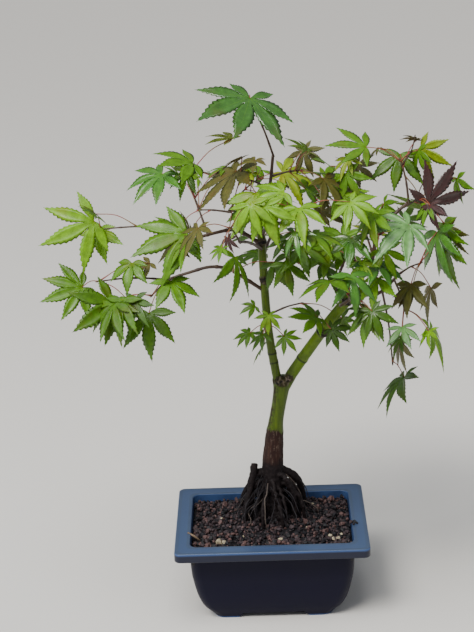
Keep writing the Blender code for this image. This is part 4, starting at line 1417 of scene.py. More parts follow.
def bark_at(p, n, rings):
    """How far the bark lifts at this point, how brown, dark and pale it is, and how much painted sunlight it
    gets.
    """
    rough = noise.noise(p * ROUGH_NOISE)
    fine = noise.noise(p * FINE_NOISE)
    grain = drawn_noise(p, GRAIN_NOISE)
    # The brown goes a little less far up on the right
    edge = BROWN_TOP + 0.0030 * grain - 0.005 * smoothstep(0.35, 0.85, n.x)
    brown = 1.0 - smoothstep(edge - 0.0012, edge + 0.0012, p.z)
    root = 1.0 - smoothstep(ROOT_TOP - 0.004, ROOT_TOP + 0.010, p.z + 0.004 * rough)
    flake = smoothstep(0.10, 0.42, grain) * brown * (1.0 - root)
    lift = 0.00009 * grain + 0.00005 * fine
    lift += brown * (0.00030 * abs(grain) + 0.00022 * flake + 0.00012 * rough)
    lift += root * (0.00050 * rough + 0.00030 * fine)
    dark = root * 0.85
    pale = flake * 0.55 * smoothstep(-0.2, 0.5, fine)
    if p.z > 0.18:
        speck = drawn_noise(p, SPECK_NOISE)
        left = smoothstep(0.15, 0.85, -n.x)
        dark += smoothstep(0.16, 0.42, speck) * left * 0.85 * (p.z < 0.25)
        dark += smoothstep(0.36, 0.60, speck) * 0.5
    streak = smoothstep(0.35, 0.80, -n.x) * smoothstep(-0.15, 0.20, grain + 0.4 * rough)
    streak *= BROWN_TOP < p.z < SCARS[0][0].z
    ring_lift, ring_dark, ring_pale = ring_marks(p, rings, rough)
    scar_lift, scar_brown, scar_dark, scar_pale = scar_marks(p, rough)
    brown = max(brown, 0.9 * streak, scar_brown)
    dark = min(1.0, dark + ring_dark + scar_dark)
    pale = min(1.0, pale + ring_pale + scar_pale)
    # Painted sunlight: the right bough above the fork is marked to be coloured a lighter green, as if lit
    # from above
    painted_sunlight = smoothstep(0.0250, 0.0330, p.x) * (p.z > 0.24)
    return lift + ring_lift + scar_lift, (brown, dark, pale, painted_sunlight)


def carve_bark(skin, rings):
    """Moves the fused skin in and out for its bark, and keeps the bark's tints with its points."""
    mesh = skin.data
    count = len(mesh.vertices)
    tints = np.zeros((count, 4), np.float32)
    moved = np.empty((count, 3), np.float32)
    for i, vertex in enumerate(mesh.vertices):
        lift, tints[i] = bark_at(vertex.co, vertex.normal, rings)
        moved[i] = vertex.co + vertex.normal * lift
    mesh.vertices.foreach_set("co", moved.ravel())
    layer = mesh.color_attributes.new("bark", "FLOAT_COLOR", "POINT")
    layer.data.foreach_set("color", tints.ravel())
    mesh.update()


def bark_finish(settings):
    """Green bark that turns brown and flaky near the roots, which are nearly black, with painted sunlight on
    the right bough.
    """
    finish = Finish("bark", settings.green, 0.5, Specular_IOR_Level=0.28)
    tint = finish.node("ShaderNodeAttribute", {"attribute_name": "bark"}, out="Color")
    parts = finish.node("ShaderNodeSeparateColor", None, {"Color": tint}, out="Red")
    split = parts.socket.node
    brown, dark, pale = (Strand(finish, split.outputs[c]) for c in ("Red", "Green", "Blue"))
    stripes = finish.patches(0.35, 0.70, 420.0, 3.0, 0.6, (1.0, 1.0, 0.12))
    clouds = finish.patches(0.38, 0.66, 95.0, 3.0)
    deep = tuple(c * 0.62 for c in settings.green)
    fresh = (settings.green[0] * 1.65, settings.green[1] * 1.45, settings.green[2] * 1.5)
    # The bark tint's alpha carries the painted sunlight: a much lighter green on the right bough's upper
    # part
    painted_sunlight = finish.node("ShaderNodeAttribute", {"attribute_name": "bark"}, out="Alpha")
    green = finish.mix(stripes * (0.7 - painted_sunlight * 0.4), deep, fresh)
    green = finish.mix(clouds * 0.35, green, settings.green)
    green = finish.mix(painted_sunlight * (0.25 + clouds * 0.3), green, tuple(c * 2.7 for c in settings.green))
    flaky = finish.mix(stripes, settings.brown, (0.046, 0.019, 0.013))
    colour = finish.mix(brown, green, flaky)
    colour = finish.mix(pale, colour, (0.20, 0.150, 0.115))
    colour = finish.mix(dark, colour, settings.root)
    finish.colour(colour)
    finish.roughen(0.40 + brown * 0.32)
    finish.bump(finish.grain(1800.0, 3.0, 0.65, (1.0, 1.0, 0.4)), 0.00018, 0.7)
    return finish.material


class BONSAI_OT_bark(bpy.types.Operator):
    """Makes the trunk with its exposed roots and the two thick limbs, fused, with their bark"""

    bl_idname = "bonsai.bark"
    bl_label = "Bark and roots"

    def execute(self, context):
        settings = context.scene.bonsai_bark
        limbs = limb_paths()
        rng = random.Random(BARK_SEED)
        heap = Heap()
        heap.add(trunk_core())
        for shape in thick_roots(rng):
            heap.add(shape)
        fork = Vector((TRUNK_RINGS[-1][1], TRUNK_FOOT[1], TRUNK_RINGS[-1][0]))
        for name, side in (("leader", -0.0040), ("right_bough", 0.0022)):
            heap.add(thick_limb(limbs, name, fork + Vector((side, 0.0, -0.0080))))
        skin = heap.build("bark_skin", [bark_finish(settings)])
        fuse = skin.modifiers.new("fuse", "REMESH")
        fuse.mode = "VOXEL"
        fuse.voxel_size = settings.voxel
        fuse.use_smooth_shade = True
        melt = skin.modifiers.new("melt", "SMOOTH")
        melt.factor = 0.5
        melt.iterations = 5
        apply_modifiers(skin)
        carve_bark(skin, bud_ring_places(limbs))
        settle(skin, "green_bark", "trunk", "leader", "right_bough")
        return {"FINISHED"}


# Root fibres

FIBRES = 84
FIBRE_SEED = 47
# Heights that the fibres start from
FIBRE_TOPS = (0.096, 0.146)
FIBRE_RADII = (0.00022, 0.00030, 0.00038, 0.00055, 0.00075)
# Dry roots that stand clear of the rest: points along each, and its radius
LOOSE_ROOTS = (
    (((0.0290, 0.0225, 0.1270), (0.0380, 0.0180, 0.1200), (0.0450, 0.0130, 0.0900)), 0.0006),
    (((-0.0160, 0.0100, 0.1300), (-0.0250, 0.0040, 0.1310), (-0.0330, -0.0020, 0.1180)), 0.0005),
    (((-0.0060, 0.0000, 0.1260), (-0.0120, -0.0110, 0.1240), (-0.0240, -0.0190, 0.1010)), 0.0006),
    (((0.0140, 0.0060, 0.1240), (0.0230, -0.0040, 0.1200), (0.0310, -0.0120, 0.1010)), 0.0006),
)


class BONSAI_OT_fibres(bpy.types.Operator):
    """Makes the fine dry roots that hang over the thick ones"""

    bl_idname = "bonsai.fibres"
    bl_label = "Root fibres"

    def execute(self, context):
        settings = context.scene.bonsai_bark
        rng = random.Random(FIBRE_SEED)
        dark = stone_finish("root_fibre", tuple(c * 2.2 for c in settings.root), 0.4)
        grey = stone_finish("dry_root_fibre", (0.095, 0.072, 0.060), 0.3)
        heap = Heap()
        for i in range(FIBRES):
            out, side = outward(rng.uniform(0, 2 * math.pi))
            top = rng.uniform(*FIBRE_TOPS)
            core = 0.012 + 0.45 * (FIBRE_TOPS[1] - top)
            reach = core + rng.uniform(0.003, 0.020)
            sway = rng.uniform(-0.026, 0.026)
            low = GROUND + rng.uniform(-0.004, 0.002)
            halfway = core + (reach - core) * 0.5
            rise = top - low
            keys = (
                FOOT + out * (core * 0.7) + UP * top,
                FOOT + out * halfway + side * sway * 0.3 + UP * (low + rise * 0.72),
                FOOT + out * reach + side * sway * 0.7 + UP * (low + rise * 0.35),
                FOOT + out * (reach * 1.04) + side * sway + UP * low,
            )
            path = smooth_path(keys, 10)
            for point in path[1:]:
                point += Vector([rng.uniform(-0.0009, 0.0009) for _ in range(3)])
            width = rng.choice(FIBRE_RADII)
            # Every seventh one is grey
            heap.add(tube(path, taper(width, width * 0.55, len(path)), 5), int(i % 7 == 0))
        for keys, width in LOOSE_ROOTS:
            heap.add(tube(smooth_path(keys, 10), taper(width, width * 0.6, 10), 6))
        settle(heap.build("root_fibres", [dark, grey]), "green_bark")
        return {"FINISHED"}


# Camera

# Where it stands and looks, worked out from the outline of the pot's rim and feet
CAMERA_PITCH = math.radians(20.3)
CAMERA_YAW = math.radians(1.05)
CAMERA_ROLL = math.radians(2.2)
CAMERA_PLACE = Vector((0.0002, -1.570, 0.9069))
FOCAL_PIXELS = 1620
PICTURE_SIZE = (474, 632)
SENSOR = 36.0


def camera_axes():
    """Right, up and forward."""
    pitch, yaw, roll = CAMERA_PITCH, CAMERA_YAW, CAMERA_ROLL
    forward = Vector((-math.sin(yaw) * math.cos(pitch), math.cos(yaw) * math.cos(pitch), -math.sin(pitch)))
    upward = Vector((-math.sin(yaw) * math.sin(pitch), math.cos(yaw) * math.sin(pitch), math.cos(pitch)))
    right = Vector((math.cos(yaw), math.sin(yaw), 0.0))
    turned_right = right * math.cos(roll) - upward * math.sin(roll)
    turned_up = right * math.sin(roll) + upward * math.cos(roll)
    return turned_right, turned_up, forward


def picture_ray(x, y):
    """The way from the camera through this pixel of the picture."""
    right, upward, forward = camera_axes()
    across, down = x - PICTURE_SIZE[0] / 2, y - PICTURE_SIZE[1] / 2
    return (forward * FOCAL_PIXELS + right * across - upward * down).normalized()


# Boughs, twigs and leaf stalks

BOUGH_ROUND = 10
TWIG_ROUND = 8
STALK_ROUND = 6
NODE_STEP = 0.020
FINE_STEP = 0.0014
TWIG_SEED = 71
TWIG_RADII = (0.00125, 0.00070)
# Along a stalk, from its foot on the twig to the blade
STALK_RADII = [0.00105, 0.00072, *taper(0.00052, 0.00048, 5), 0.00052, 0.00060]
TWIG_BUD = 0.0016
STALK_BUD = 0.0011
# How far a bough and a twig run back into what carries them
BOUGH_DEPTH = 0.0035
TWIG_DEPTH = 0.0022
# Shoots with no leaves: host, share of it, bend, tip, first radius
BARE_TWIGS = (
    ("right_top", 0.86, (0.1530, 0.0200, 0.4900), (0.1570, 0.0200, 0.5065), 0.0009),
    ("far_right", 0.70, (0.1620, 0.0080, 0.4560), (0.1680, 0.0110, 0.4640), 0.0007),
    ("left_top", 0.80, (-0.0700, 0.0250, 0.4740), (-0.0660, 0.0220, 0.4850), 0.0007),
)
# Smaller leaves where a stem still has room: share of its length, turn in degrees, size
YOUNG_PLACES = (
    (0.99, 300, 0.50),
    (0.78, 15, 0.66),
    (0.78, 195, 0.66),
    (0.36, 130, 0.70),
    (0.36, 310, 0.70),
)
YOUNG_LEAVES = {
    "apex": 0, "trunk_sprig": 2, "inner_left": 0, "lowest_right": 0, "left_front": 0,
    "right_top": 2, "far_right": 2, "upper_middle": 2, "far_left_upper": 0, "right_front": 0,
}
USUAL_YOUNG = 1


def in_model(points):
    """Whether the points lie inside the model's outline."""
    return all(BOX_LOW[k] < p[k] < BOX_HIGH[k] for p in points for k in range(3))


def grow_young(masses, field):
    """The source's rule carried on: small leaves where the stems still have room."""
    for place, (share, turn, size) in enumerate(YOUNG_PLACES):
        for mass in masses:
            if place >= YOUNG_LEAVES.get(mass.name, USUAL_YOUNG):
                continue
            at, along = place_on(mass.path, share)
            if grow_leaf(mass, masses, field, at, along, math.radians(turn), size):
                if not in_model(mass.shapes[-1][0]):
                    mass.leaves.pop()


TREE = []


def whole_tree():
    """Limbs and masses, grown once for all the operators that need them."""
    if not TREE:
        limbs = limb_paths()
        masses, field = grow(limbs)
        grow_young(masses, field)
        rng = random.Random(BLADE_SEED)
        for mass in masses:
            mass.blades = [fitting_blade(mass, i, rng) for i in range(len(mass.leaves))]
        TREE.extend((limbs, masses))
    return TREE


def length_of(path):
    return sum((b - a).length for a, b in zip(path, path[1:]))


def knotty(path, first, last, rng):
    """Radii along a twig: a swelling at each bud, a little unevenness between."""
    length = length_of(path)
    radii = []
    gone = 0.0
    shift = rng.uniform(0.2, 0.8) * NODE_STEP
    for i, point in enumerate(path):
        if i:
            gone += (point - path[i - 1]).length
        share = gone / length
        off = (gone + shift) % NODE_STEP - NODE_STEP / 2
        swell = 1.0 + 0.30 * bell(off, 0.0013)
        radii.append((first + (last - first) * share) * swell * rng.uniform(0.97, 1.03))
    return radii


def fine_path(path):
    """The path again in short steps."""
    return smooth_path(path, max(6, round(length_of(path) / FINE_STEP)))


def rooted(path, depth):
    """The path with its start run back into what carries it."""
    back = (path[0] - path[1]).normalized()
    return [path[0] + back * depth, *path]


def bud(tip, along, size):
    """A small pointed bud."""
    path = [tip, tip + along * size * 0.5, tip + along * size * 1.2, tip + along * size * 2.0]
    return tube(path, (size * 0.42, size * 0.55, size * 0.36, size * 0.06), 7)


def twig_finish(settings):
    finish = Finish("twig_bark", settings.twig, 0.45, Specular_IOR_Level=0.45)
    patches = finish.patches(0.35, 0.70, 150.0, 4.0, 0.6)
    colour = finish.mix(patches, settings.twig, (0.070, 0.040, 0.018))
    specks = finish.patches(0.62, 0.72, 1500.0, 2.0)
    finish.colour(finish.mix(specks * 0.35, colour, (0.16, 0.12, 0.08)))
    finish.bump(finish.grain(2200.0, 3.0), 0.00012, 0.6)
    return finish.material


def stalk_finish(settings):
    finish = Finish("leaf_stalk", settings.stalk, 0.38, Specular_IOR_Level=0.5)
    patches = finish.patches(0.40, 0.64, 45.0, 2.0)
    finish.colour(finish.mix(patches, settings.stalk, (0.235, 0.135, 0.040)))
    return finish.material


class BONSAI_OT_twigs(bpy.types.Operator):
    """Makes the boughs, the twigs of each mass with their buds, and the leaf stalks"""

    bl_idname = "bonsai.twigs"
    bl_label = "Boughs and twigs"

    def execute(self, context):
        settings = context.scene.bonsai_bark
        limbs, masses = whole_tree()
        rng = random.Random(TWIG_SEED)
        boughs = Heap()
        bough_nodes = [name for name, host, *_ in LIMBS if host != "trunk"]
        for name in bough_nodes:
            path, radii = limbs[name]
            fine = fine_path(rooted(path, BOUGH_DEPTH))
            widths = knotty(fine, radii[0], radii[-1], rng)
            widths[0] *= 1.25
            widths[1] *= 1.15
            boughs.add(tube(fine, widths, BOUGH_ROUND))
        settle(boughs.build("boughs", [twig_finish(settings)]), "twig_bark", *bough_nodes)
        twigs = Heap()
        stalks = Heap()
        stems = {mass.name: mass.path for mass in masses}
        for mass in masses:
            fine = fine_path(rooted(mass.path, TWIG_DEPTH))
            twigs.add(tube(fine, knotty(fine, *TWIG_RADII, rng), TWIG_ROUND))
            along = (fine[-1] - fine[-2]).normalized()
            twigs.add(bud(fine[-1], along, TWIG_BUD))
            for blade in mass.blades:
                at, middle, base = blade.stalk
                stalk = smooth_path((at, middle, base), len(STALK_RADII))
                stalks.add(tube(stalk, STALK_RADII, STALK_ROUND))
                twigs.add(bud(at, (middle - at).normalized() + along * 0.8, STALK_BUD))
        for name, share, bend, tip, radius in BARE_TWIGS:
            at = place_on(stems[name], share)[0]
            fine = fine_path([at, Vector(bend), Vector(tip)])
            twigs.add(tube(fine, knotty(fine, radius, radius * 0.6, rng), TWIG_ROUND))
        settle(twigs.build("twigs", [twig_finish(settings)]), "twig_bark")
        settle(stalks.build("leaf_stalks", [stalk_finish(settings)]), "leaves")
        return {"FINISHED"}


# Leaves

# Colours of the upper side, the underside and the veins, then roughness and gloss
TINTS = {
    "fresh": ((0.160, 0.352, 0.003), (0.200, 0.340, 0.030), (0.225, 0.420, 0.010), 0.46, 0.40),
    "green": ((0.088, 0.216, 0.002), (0.125, 0.230, 0.022), (0.125, 0.270, 0.006), 0.44, 0.42),
    "middle": ((0.064, 0.160, 0.002), (0.090, 0.180, 0.018), (0.090, 0.205, 0.006), 0.44, 0.42),
    "deep": ((0.044, 0.112, 0.002), (0.066, 0.135, 0.016), (0.062, 0.145, 0.006), 0.42, 0.45),
    # The glossy and teal tints are paler and bluer than the rest: partly the leaves' own tone, partly a
    # painted sheen of the sky, beside their real gloss
    "glossy": ((0.062, 0.205, 0.014), (0.105, 0.240, 0.045), (0.100, 0.260, 0.030), 0.32, 0.80),
    "teal": ((0.125, 0.300, 0.075), (0.150, 0.320, 0.100), (0.170, 0.380, 0.100), 0.42, 0.60),
    "wet": ((0.040, 0.140, 0.012), (0.085, 0.200, 0.035), (0.080, 0.200, 0.020), 0.27, 1.00),
    "yellow": ((0.215, 0.310, 0.006), (0.235, 0.310, 0.035), (0.270, 0.370, 0.020), 0.46, 0.40),
    "bronze": ((0.098, 0.096, 0.016), (0.120, 0.100, 0.034), (0.135, 0.092, 0.026), 0.44, 0.42),
    "purple": ((0.052, 0.022, 0.020), (0.090, 0.040, 0.036), (0.110, 0.032, 0.028), 0.40, 0.50),
}
# Tints that the leaves of a spray take in turn
SPRAY_TINTS = {
    "apex": ("wet",),
    "upper_middle": ("green", "bronze", "green", "bronze", "bronze", "green"),
    "upper_inner_left": ("fresh", "bronze", "bronze", "green", "purple"),
    "upper_front": ("fresh", "fresh", "fresh", "green", "fresh", "glossy"),
    "left_top": ("glossy", "yellow", "green", "green", "green", "bronze"),
    "left_front": ("green", "green", "bronze"),
    "far_left_upper": ("middle", "fresh", "fresh", "bronze"),
    "far_left_lower": ("middle", "green", "deep", "green", "bronze"),
    "left_lower": ("green", "middle", "deep", "middle", "middle"),
    "inner_left": ("deep", "green"),
    "trunk_sprig": ("green", "green", "green", "fresh", "deep", "green"),
    "inner_right": ("green", "middle", "green", "deep"),
    "inner_low_right": ("green", "green", "deep", "deep"),
    "upper_right_inner": ("green", "bronze", "yellow", "green", "green", "bronze"),
    "right_top": ("green", "yellow", "green", "middle", "green", "bronze", "bronze"),
    "far_right": ("green", "purple", "purple", "bronze", "green", "green"),
    "right_front": ("teal", "glossy", "green", "glossy"),
    "right_middle": ("fresh", "green", "green", "fresh", "green", "fresh"),
    "far_right_low": ("green", "bronze", "glossy", "bronze", "bronze"),
    "lower_right": ("fresh", "teal", "fresh", "deep"),
    "lowest_right": ("bronze", "deep"),
    "front_left": ("fresh", "bronze", "green"),
    "front_right": ("deep", "middle", "glossy", "green", "deep"),
    "back_high": ("green", "yellow", "bronze"),
    "back_left": ("green", "fresh", "green", "bronze"),
    "back_low": ("deep", "green", "green"),
    "back_middle": ("green", "fresh", "green", "bronze"),
    "back_right": ("green", "deep", "green", "yellow"),
}


class Seen(NamedTuple):
    """Pixels of a leaf's base and its middle lobe's tip, its roll in degrees and its real length.

    A length below nought belongs to a leaf whose tip leans away from the camera, and nought to one
    whose length comes from the picture and the source. Its lobes may be wider than others.
    """

    base: tuple
    tip: tuple
    roll: float = 8.0
    size: float = 0.0
    wide: float = 1.0


# Leaves of each spray, by number, that stand clear enough in the picture to be placed by it
SEEN_LEAVES = {
    "apex": {0: Seen((250, 98), (239, 144), -10, 0.072)},
    "upper_middle": {3: Seen((304, 150), (311, 178), 30), 5: Seen((307, 151), (284, 134), 72)},
    "upper_inner_left": {
        0: Seen((256, 193), (277, 248), 8, 0.062),
        1: Seen((236, 171), (191, 215), 40, 0.064),
        2: Seen((242, 158), (219, 163), 64),
        3: Seen((250, 205), (237, 238), 24),
        4: Seen((228, 238), (232, 256), 55),
    },
    "upper_front": {
        0: Seen((350, 202), (371, 228)),
        1: Seen((264, 206), (279, 246), 26),
        2: Seen((299, 208), (306, 238), 0, 0.042, 1.15),
        4: Seen((284, 192), (248, 203)),
    },
    "left_top": {
        0: Seen((162, 174), (130, 200), 20, 0.047),
        1: Seen((232, 139), (203, 131), 70),
        2: Seen((193, 163), (152, 162), 15, 0.048, 1.2),
        3: Seen((187, 170), (177, 201), 24),
        4: Seen((226, 167), (204, 175), 40),
        5: Seen((214, 177), (200, 169), 40),
    },
    "left_front": {
        0: Seen((186, 243), (180, 272), 40, 0.036),
        1: Seen((186, 233), (129, 256), -10, 0.062, 1.2),
        2: Seen((178, 240), (165, 276), 48),
    },
    "far_left_upper": {
        0: Seen((97, 217), (84, 205), 40, 0.026),
        1: Seen((98, 231), (102, 260), 20, 0.036, 1.4),
        2: Seen((94, 221), (34, 254), -25, 0.062),
        3: Seen((96, 214), (84, 203), 50),
    },
    "far_left_lower": {
        0: Seen((112, 302), (72, 333), -30, 0.056, 1.1),
        1: Seen((82, 287), (39, 305), -15),
        2: Seen((130, 302), (126, 338), 40),
        3: Seen((132, 263), (123, 292), 20, 0.0, 1.3),
        4: Seen((150, 263), (128, 277), 20),
    },
    "left_lower": {
        0: Seen((171, 281), (185, 312), -10, 0.0, 1.2),
        1: Seen((114, 303), (97, 344), 34),
        2: Seen((134, 300), (127, 338), 30),
        3: Seen((149, 313), (148, 361), 10),
        4: Seen((122, 300), (112, 346), 34),
    },
    "inner_left": {0: Seen((274, 262), (288, 292), 30), 1: Seen((235, 257), (240, 298), -50, 0.046, 0.8)},
    "trunk_sprig": {
        0: Seen((284, 336), (298, 352), 10),
        1: Seen((250, 333), (235, 347), 20),
        2: Seen((255, 306), (238, 312)),
        3: Seen((269, 315), (269, 336), 5),
        4: Seen((263, 334), (250, 352), 30),
        5: Seen((264, 345), (252, 364), 74),
    },
    "inner_right": {1: Seen((286, 263), (294, 297), 10), 3: Seen((286, 240), (270, 262), 20)},
    "inner_low_right": {
        0: Seen((342, 318), (352, 334), 70),
        1: Seen((317, 317), (289, 317), 8, 0.034),
        2: Seen((316, 318), (298, 304), 30),
        3: Seen((331, 329), (353, 341), 15),
    },
    "upper_right_inner": {
        0: Seen((330, 166), (302, 144), 54),
        1: Seen((357, 166), (376, 180), 30),
        2: Seen((349, 158), (338, 180), 34),
        4: Seen((346, 173), (363, 200), 40),
    },
    "right_top": {
        0: Seen((366, 147), (321, 141), 10),
        1: Seen((421, 148), (449, 168), 60, 0.037),
        2: Seen((418, 150), (425, 177), 66),
        3: Seen((400, 154), (396, 194), 0, 0.044),
        4: Seen((425, 210), (388, 188), 74),
        5: Seen((379, 148), (368, 158), 50),
        6: Seen((416, 140), (403, 133), 66),
    },
    "far_right": {
        0: Seen((457, 178), (462, 207), 74),
        1: Seen((430, 205), (435, 232), 50),
        2: Seen((428, 203), (466, 149), 44, 0.054, 1.05),
        3: Seen((447, 226), (463, 260), 78),
        4: Seen((444, 224), (450, 268), 76),
        5: Seen((428, 206), (420, 228), 40),
    },
    "right_front": {
        0: Seen((409, 225), (372, 250), 5, 0.052),
        1: Seen((351, 238), (347, 268)),
        2: Seen((373, 214), (371, 248), 50),
        3: Seen((376, 262), (394, 288), -22, 0.042, 1.15),
    },
    "right_middle": {
        0: Seen((384, 250), (398, 282), 16),
        2: Seen((345, 236), (352, 270), 30),
        3: Seen((378, 278), (371, 312), 40, 0.040),
        5: Seen((362, 262), (359, 290), 30),
    },
    "far_right_low": {
        0: Seen((446, 240), (454, 290), 70),
        1: Seen((411, 284), (404, 322), 38),
        2: Seen((437, 232), (440, 284), 62),
        3: Seen((431, 288), (424, 324), 68),
        4: Seen((412, 289), (396, 308), 30),
    },
    "lower_right": {
        0: Seen((430, 329), (447, 374), -60, 0.049, 0.8),
        1: Seen((402, 327), (408, 351)),
        2: Seen((429, 331), (426, 350), 50),
        3: Seen((402, 338), (390, 359), 50),
    },
    "lowest_right": {0: Seen((400, 341), (404, 374), 74), 1: Seen((404, 377), (381, 413), 62, 0.050)},
    "front_left": {
        0: Seen((250, 204), (259, 242), 20),
        1: Seen((198, 228), (183, 258), 40),
        2: Seen((222, 248), (209, 262), 30),
    },
    "front_right": {
        0: Seen((372, 311), (386, 342), 14),
        1: Seen((330, 281), (316, 300), 30, 0.046),
        3: Seen((370, 312), (359, 346), 34),
        4: Seen((364, 309), (341, 318), 26),
    },
    "back_high": {
        0: Seen((262, 170), (240, 181), 20),
        2: Seen((255, 160), (238, 173), 30),
        4: Seen((250, 172), (233, 186), 20),
    },
    "back_right": {
        0: Seen((373, 214), (360, 228), 40),
        1: Seen((405, 219), (427, 215), 74),
        2: Seen((384, 203), (396, 214), 66),
    },
    "back_left": {
        0: Seen((178, 229), (146, 222), 20),
        1: Seen((198, 178), (184, 167), 20),
        2: Seen((182, 178), (166, 165), 30),
        3: Seen((190, 232), (177, 212), 30),
        4: Seen((216, 181), (206, 171), 30),
    },
}
BLADE_SEED = 97
# A leaf's real length, where it isn't given: least and most as shares of how long it looks in
# the picture, and least as a share of the source's
FORESHORTENED = (1.02, 1.22)
SOURCE_SHARE = 0.75
# A leaf placed by the picture: its share of the source's fold, and how far its stalk arches up
SEEN_FOLD = 0.6
STALK_ARCH = 0.12
BOX_MARGIN = 0.0002
VEIN_RADII = (0.00032, 0.00008)
# Where the blade ends behind its base, by its count of lobes, and how far out
BACK_ANGLE = {5: 128, 7: 152}
BACK_REACH = 0.075
# Half the width of a lobe and the depth between two lobes, as shares of the leaf's length
LOBE_SLIM = (0.096, 0.122)
NOTCH_REACH = (0.17, 0.24)
TOOTH = 0.0165
# How far a leaf turns about its middle lobe, how far it nods, and how its lobes differ, in degrees
LEAF_ROLL = 24
LEAF_NOD = 9
LOBE_TURN = 5


def lobe_width(u, first, widest):
    """Half the width of a lobe at share u of the way from its notch to its tip."""
    bulge = math.sin(math.pi * u**0.88) ** 1.1 * (1.0 - 0.40 * smoothstep(0.45, 0.95, u))
    return first * (1 - u) ** 1.8 + widest * bulge


class Blade:
    """One leaf's blade: the source's lobes with toothed edges, folds and a real thickness."""

    def __init__(self, pose, length, plan, fold, wide, rng):
        settings = bpy.context.scene.bonsai_leaves
        self.base, self.heading, self.normal = pose
        self.across = self.normal.cross(self.heading)
        self.length = length
        self.fold = fold
        self.steps = settings.teeth * 2 + 1
        self.relief = settings.relief
        self.thickness = settings.thickness
        self.vee = rng.choice((0.10, 0.18, 0.26, 0.42))
        self.slim = rng.uniform(*LOBE_SLIM) * wide
        self.lobes = []
        for angle, size in lobes_in_order(plan):
            turned = angle + rng.uniform(-LOBE_TURN, LOBE_TURN)
            self.lobes.append((turned, size * rng.uniform(0.90, 1.06)))
        self.droops = [rng.uniform(0.0, 0.22) for _ in self.lobes]
        self.back = BACK_ANGLE[plan]
        self.points = []
        self.uppers = []
        self.unders = []
        self.veins = []
        self.make(rng)

    def at(self, angle, reach, side, lift, droop):
        """The point at this reach along a lobe, and to this side of its midrib."""
        turn = math.radians(angle)
        ahead = self.heading * math.cos(turn) + self.across * math.sin(turn)
        beside = self.across * math.cos(turn) - self.heading * math.sin(turn)
        flat = ahead * reach + beside * side
        far = flat.length
        sink = self.fold * far * far / self.length + droop * far**3 / self.length**2
        return self.base + flat + self.normal * (lift - sink)

    def put(self, point):
        self.points.append(point)
        return len(self.points) - 1

    def make(self, rng):
        length = self.length
        under = self.normal * -self.thickness
        centre = (self.put(self.base), self.put(self.base + under))
        bounds = []
        for i in range(len(self.lobes) + 1):
            if i == 0 or i == len(self.lobes):
                angle = self.back if i else -self.back
                notch = BACK_REACH * length
            else:
                (a, small), (b, other) = self.lobes[i - 1], self.lobes[i]
                angle = (a + b) / 2
                notch = rng.uniform(*NOTCH_REACH) * length * min(small, other)
            half = self.at(angle, notch * 0.55, 0.0, self.relief * 0.5, 0.0)
            edge = self.put(self.at(angle, notch, 0.0, length * 0.008, 0.0))
            bounds.append((angle, notch, self.put(half), self.put(half + under * 0.6), edge))
        for i, (angle, size) in enumerate(self.lobes):
            ribs = self.midrib(angle, length * size, rng.uniform(-4.0, 4.0), self.droops[i])
            self.half_lobe(centre, ribs, size, bounds[i], -1)
            self.half_lobe(centre, ribs, size, bounds[i + 1], 1)
            vein = [p - self.normal * self.thickness * 0.25 for p in ribs["path"][:-1:2]]
            self.veins.append(tube([self.base, *vein], taper(*VEIN_RADII, len(vein) + 1), 5))
        top, low = centre
        for (_, _, half, half_low, edge), flip in ((bounds[0], False), (bounds[-1], True)):
            for face in ((top, low, half_low, half), (half, half_low, edge)):
                self.uppers.append(tuple(reversed(face)) if flip else face)

    def midrib(self, angle, tip, sway, droop):
        """The rows of a lobe's middle, which swings a little to one side towards the tip."""
        reaches = [tip * (0.10 + 0.90 * k / self.steps) for k in range(1, self.steps + 1)]
        swings = [angle + sway * (reach / tip) ** 2 for reach in reaches]
        path = [self.at(swing, reach, 0.0, 0.0, droop) for swing, reach in zip(swings, reaches)]
        tops = [self.put(p) for p in path]
        lows = []
        for k, p in enumerate(path[:-1]):
            thin = 1 - 0.7 * (k + 1) / self.steps
            lows.append(self.put(p - self.normal * self.thickness * thin))
        lows.append(tops[-1])
        return {"path": path, "tops": tops, "lows": lows, "reaches": reaches, "swings": swings,
                "angle": angle, "droop": droop, "tip": tip}

    def half_lobe(self, centre, ribs, size, bound, hand):
        bound_angle, notch, half, half_low, edge = bound
        apart = math.radians(bound_angle - ribs["angle"])
        start, first = notch * math.cos(apart), abs(notch * math.sin(apart))
        widest = self.length * self.slim * (0.2 + 0.8 * size)
        mids, mids_low, edges = [half], [half_low], [edge]
        for k in range(1, self.steps):
            u = k / self.steps
            reach = max(ribs["reaches"][k - 1], start + (ribs["tip"] - start) * u * 0.999)
            width = lobe_width(u, first, widest)
            pointed = k % 2
            tooth = TOOTH * self.length * (0.4 + 0.6 * size) * (1.0 if pointed else -0.2)
            tooth *= smoothstep(0.04, 0.25, u) * (1.0 - 0.7 * smoothstep(0.75, 1.0, u))
            swing, droop = ribs["swings"][k - 1], ribs["droop"]
            swell = self.relief * (0.1 if pointed else 1.0) * (1 - 0.5 * u)
            along = (ribs["reaches"][k - 1] + reach) / 2
            mid = self.at(swing, along, hand * width * 0.5, swell + width * self.vee * 0.5, droop)
            mids.append(self.put(mid))
            mids_low.append(self.put(mid - self.normal * self.thickness * 0.6 * (1 - 0.7 * u)))
            ahead = reach + (1.1 * tooth if pointed else 0.0)
            edges.append(self.put(self.at(swing, ahead, hand * (width + tooth), width * self.vee, droop)))
        for row in (mids, mids_low, edges):
            row.append(ribs["tops"][-1])
        tops = [centre[0], *ribs["tops"]]
        lows = [centre[1], *ribs["lows"]]
        for rows, faces, turned in (
            ((tops, mids, edges), self.uppers, hand < 0),
            ((lows, mids_low, edges), self.unders, hand > 0),
        ):
            for one, two in zip(rows, rows[1:]):
                for k in range(self.steps):
                    face = list(dict.fromkeys((one[k], one[k + 1], two[k + 1], two[k])))
                    if len(face) < 3:
                        continue
                    faces.append(tuple(reversed(face)) if turned else tuple(face))


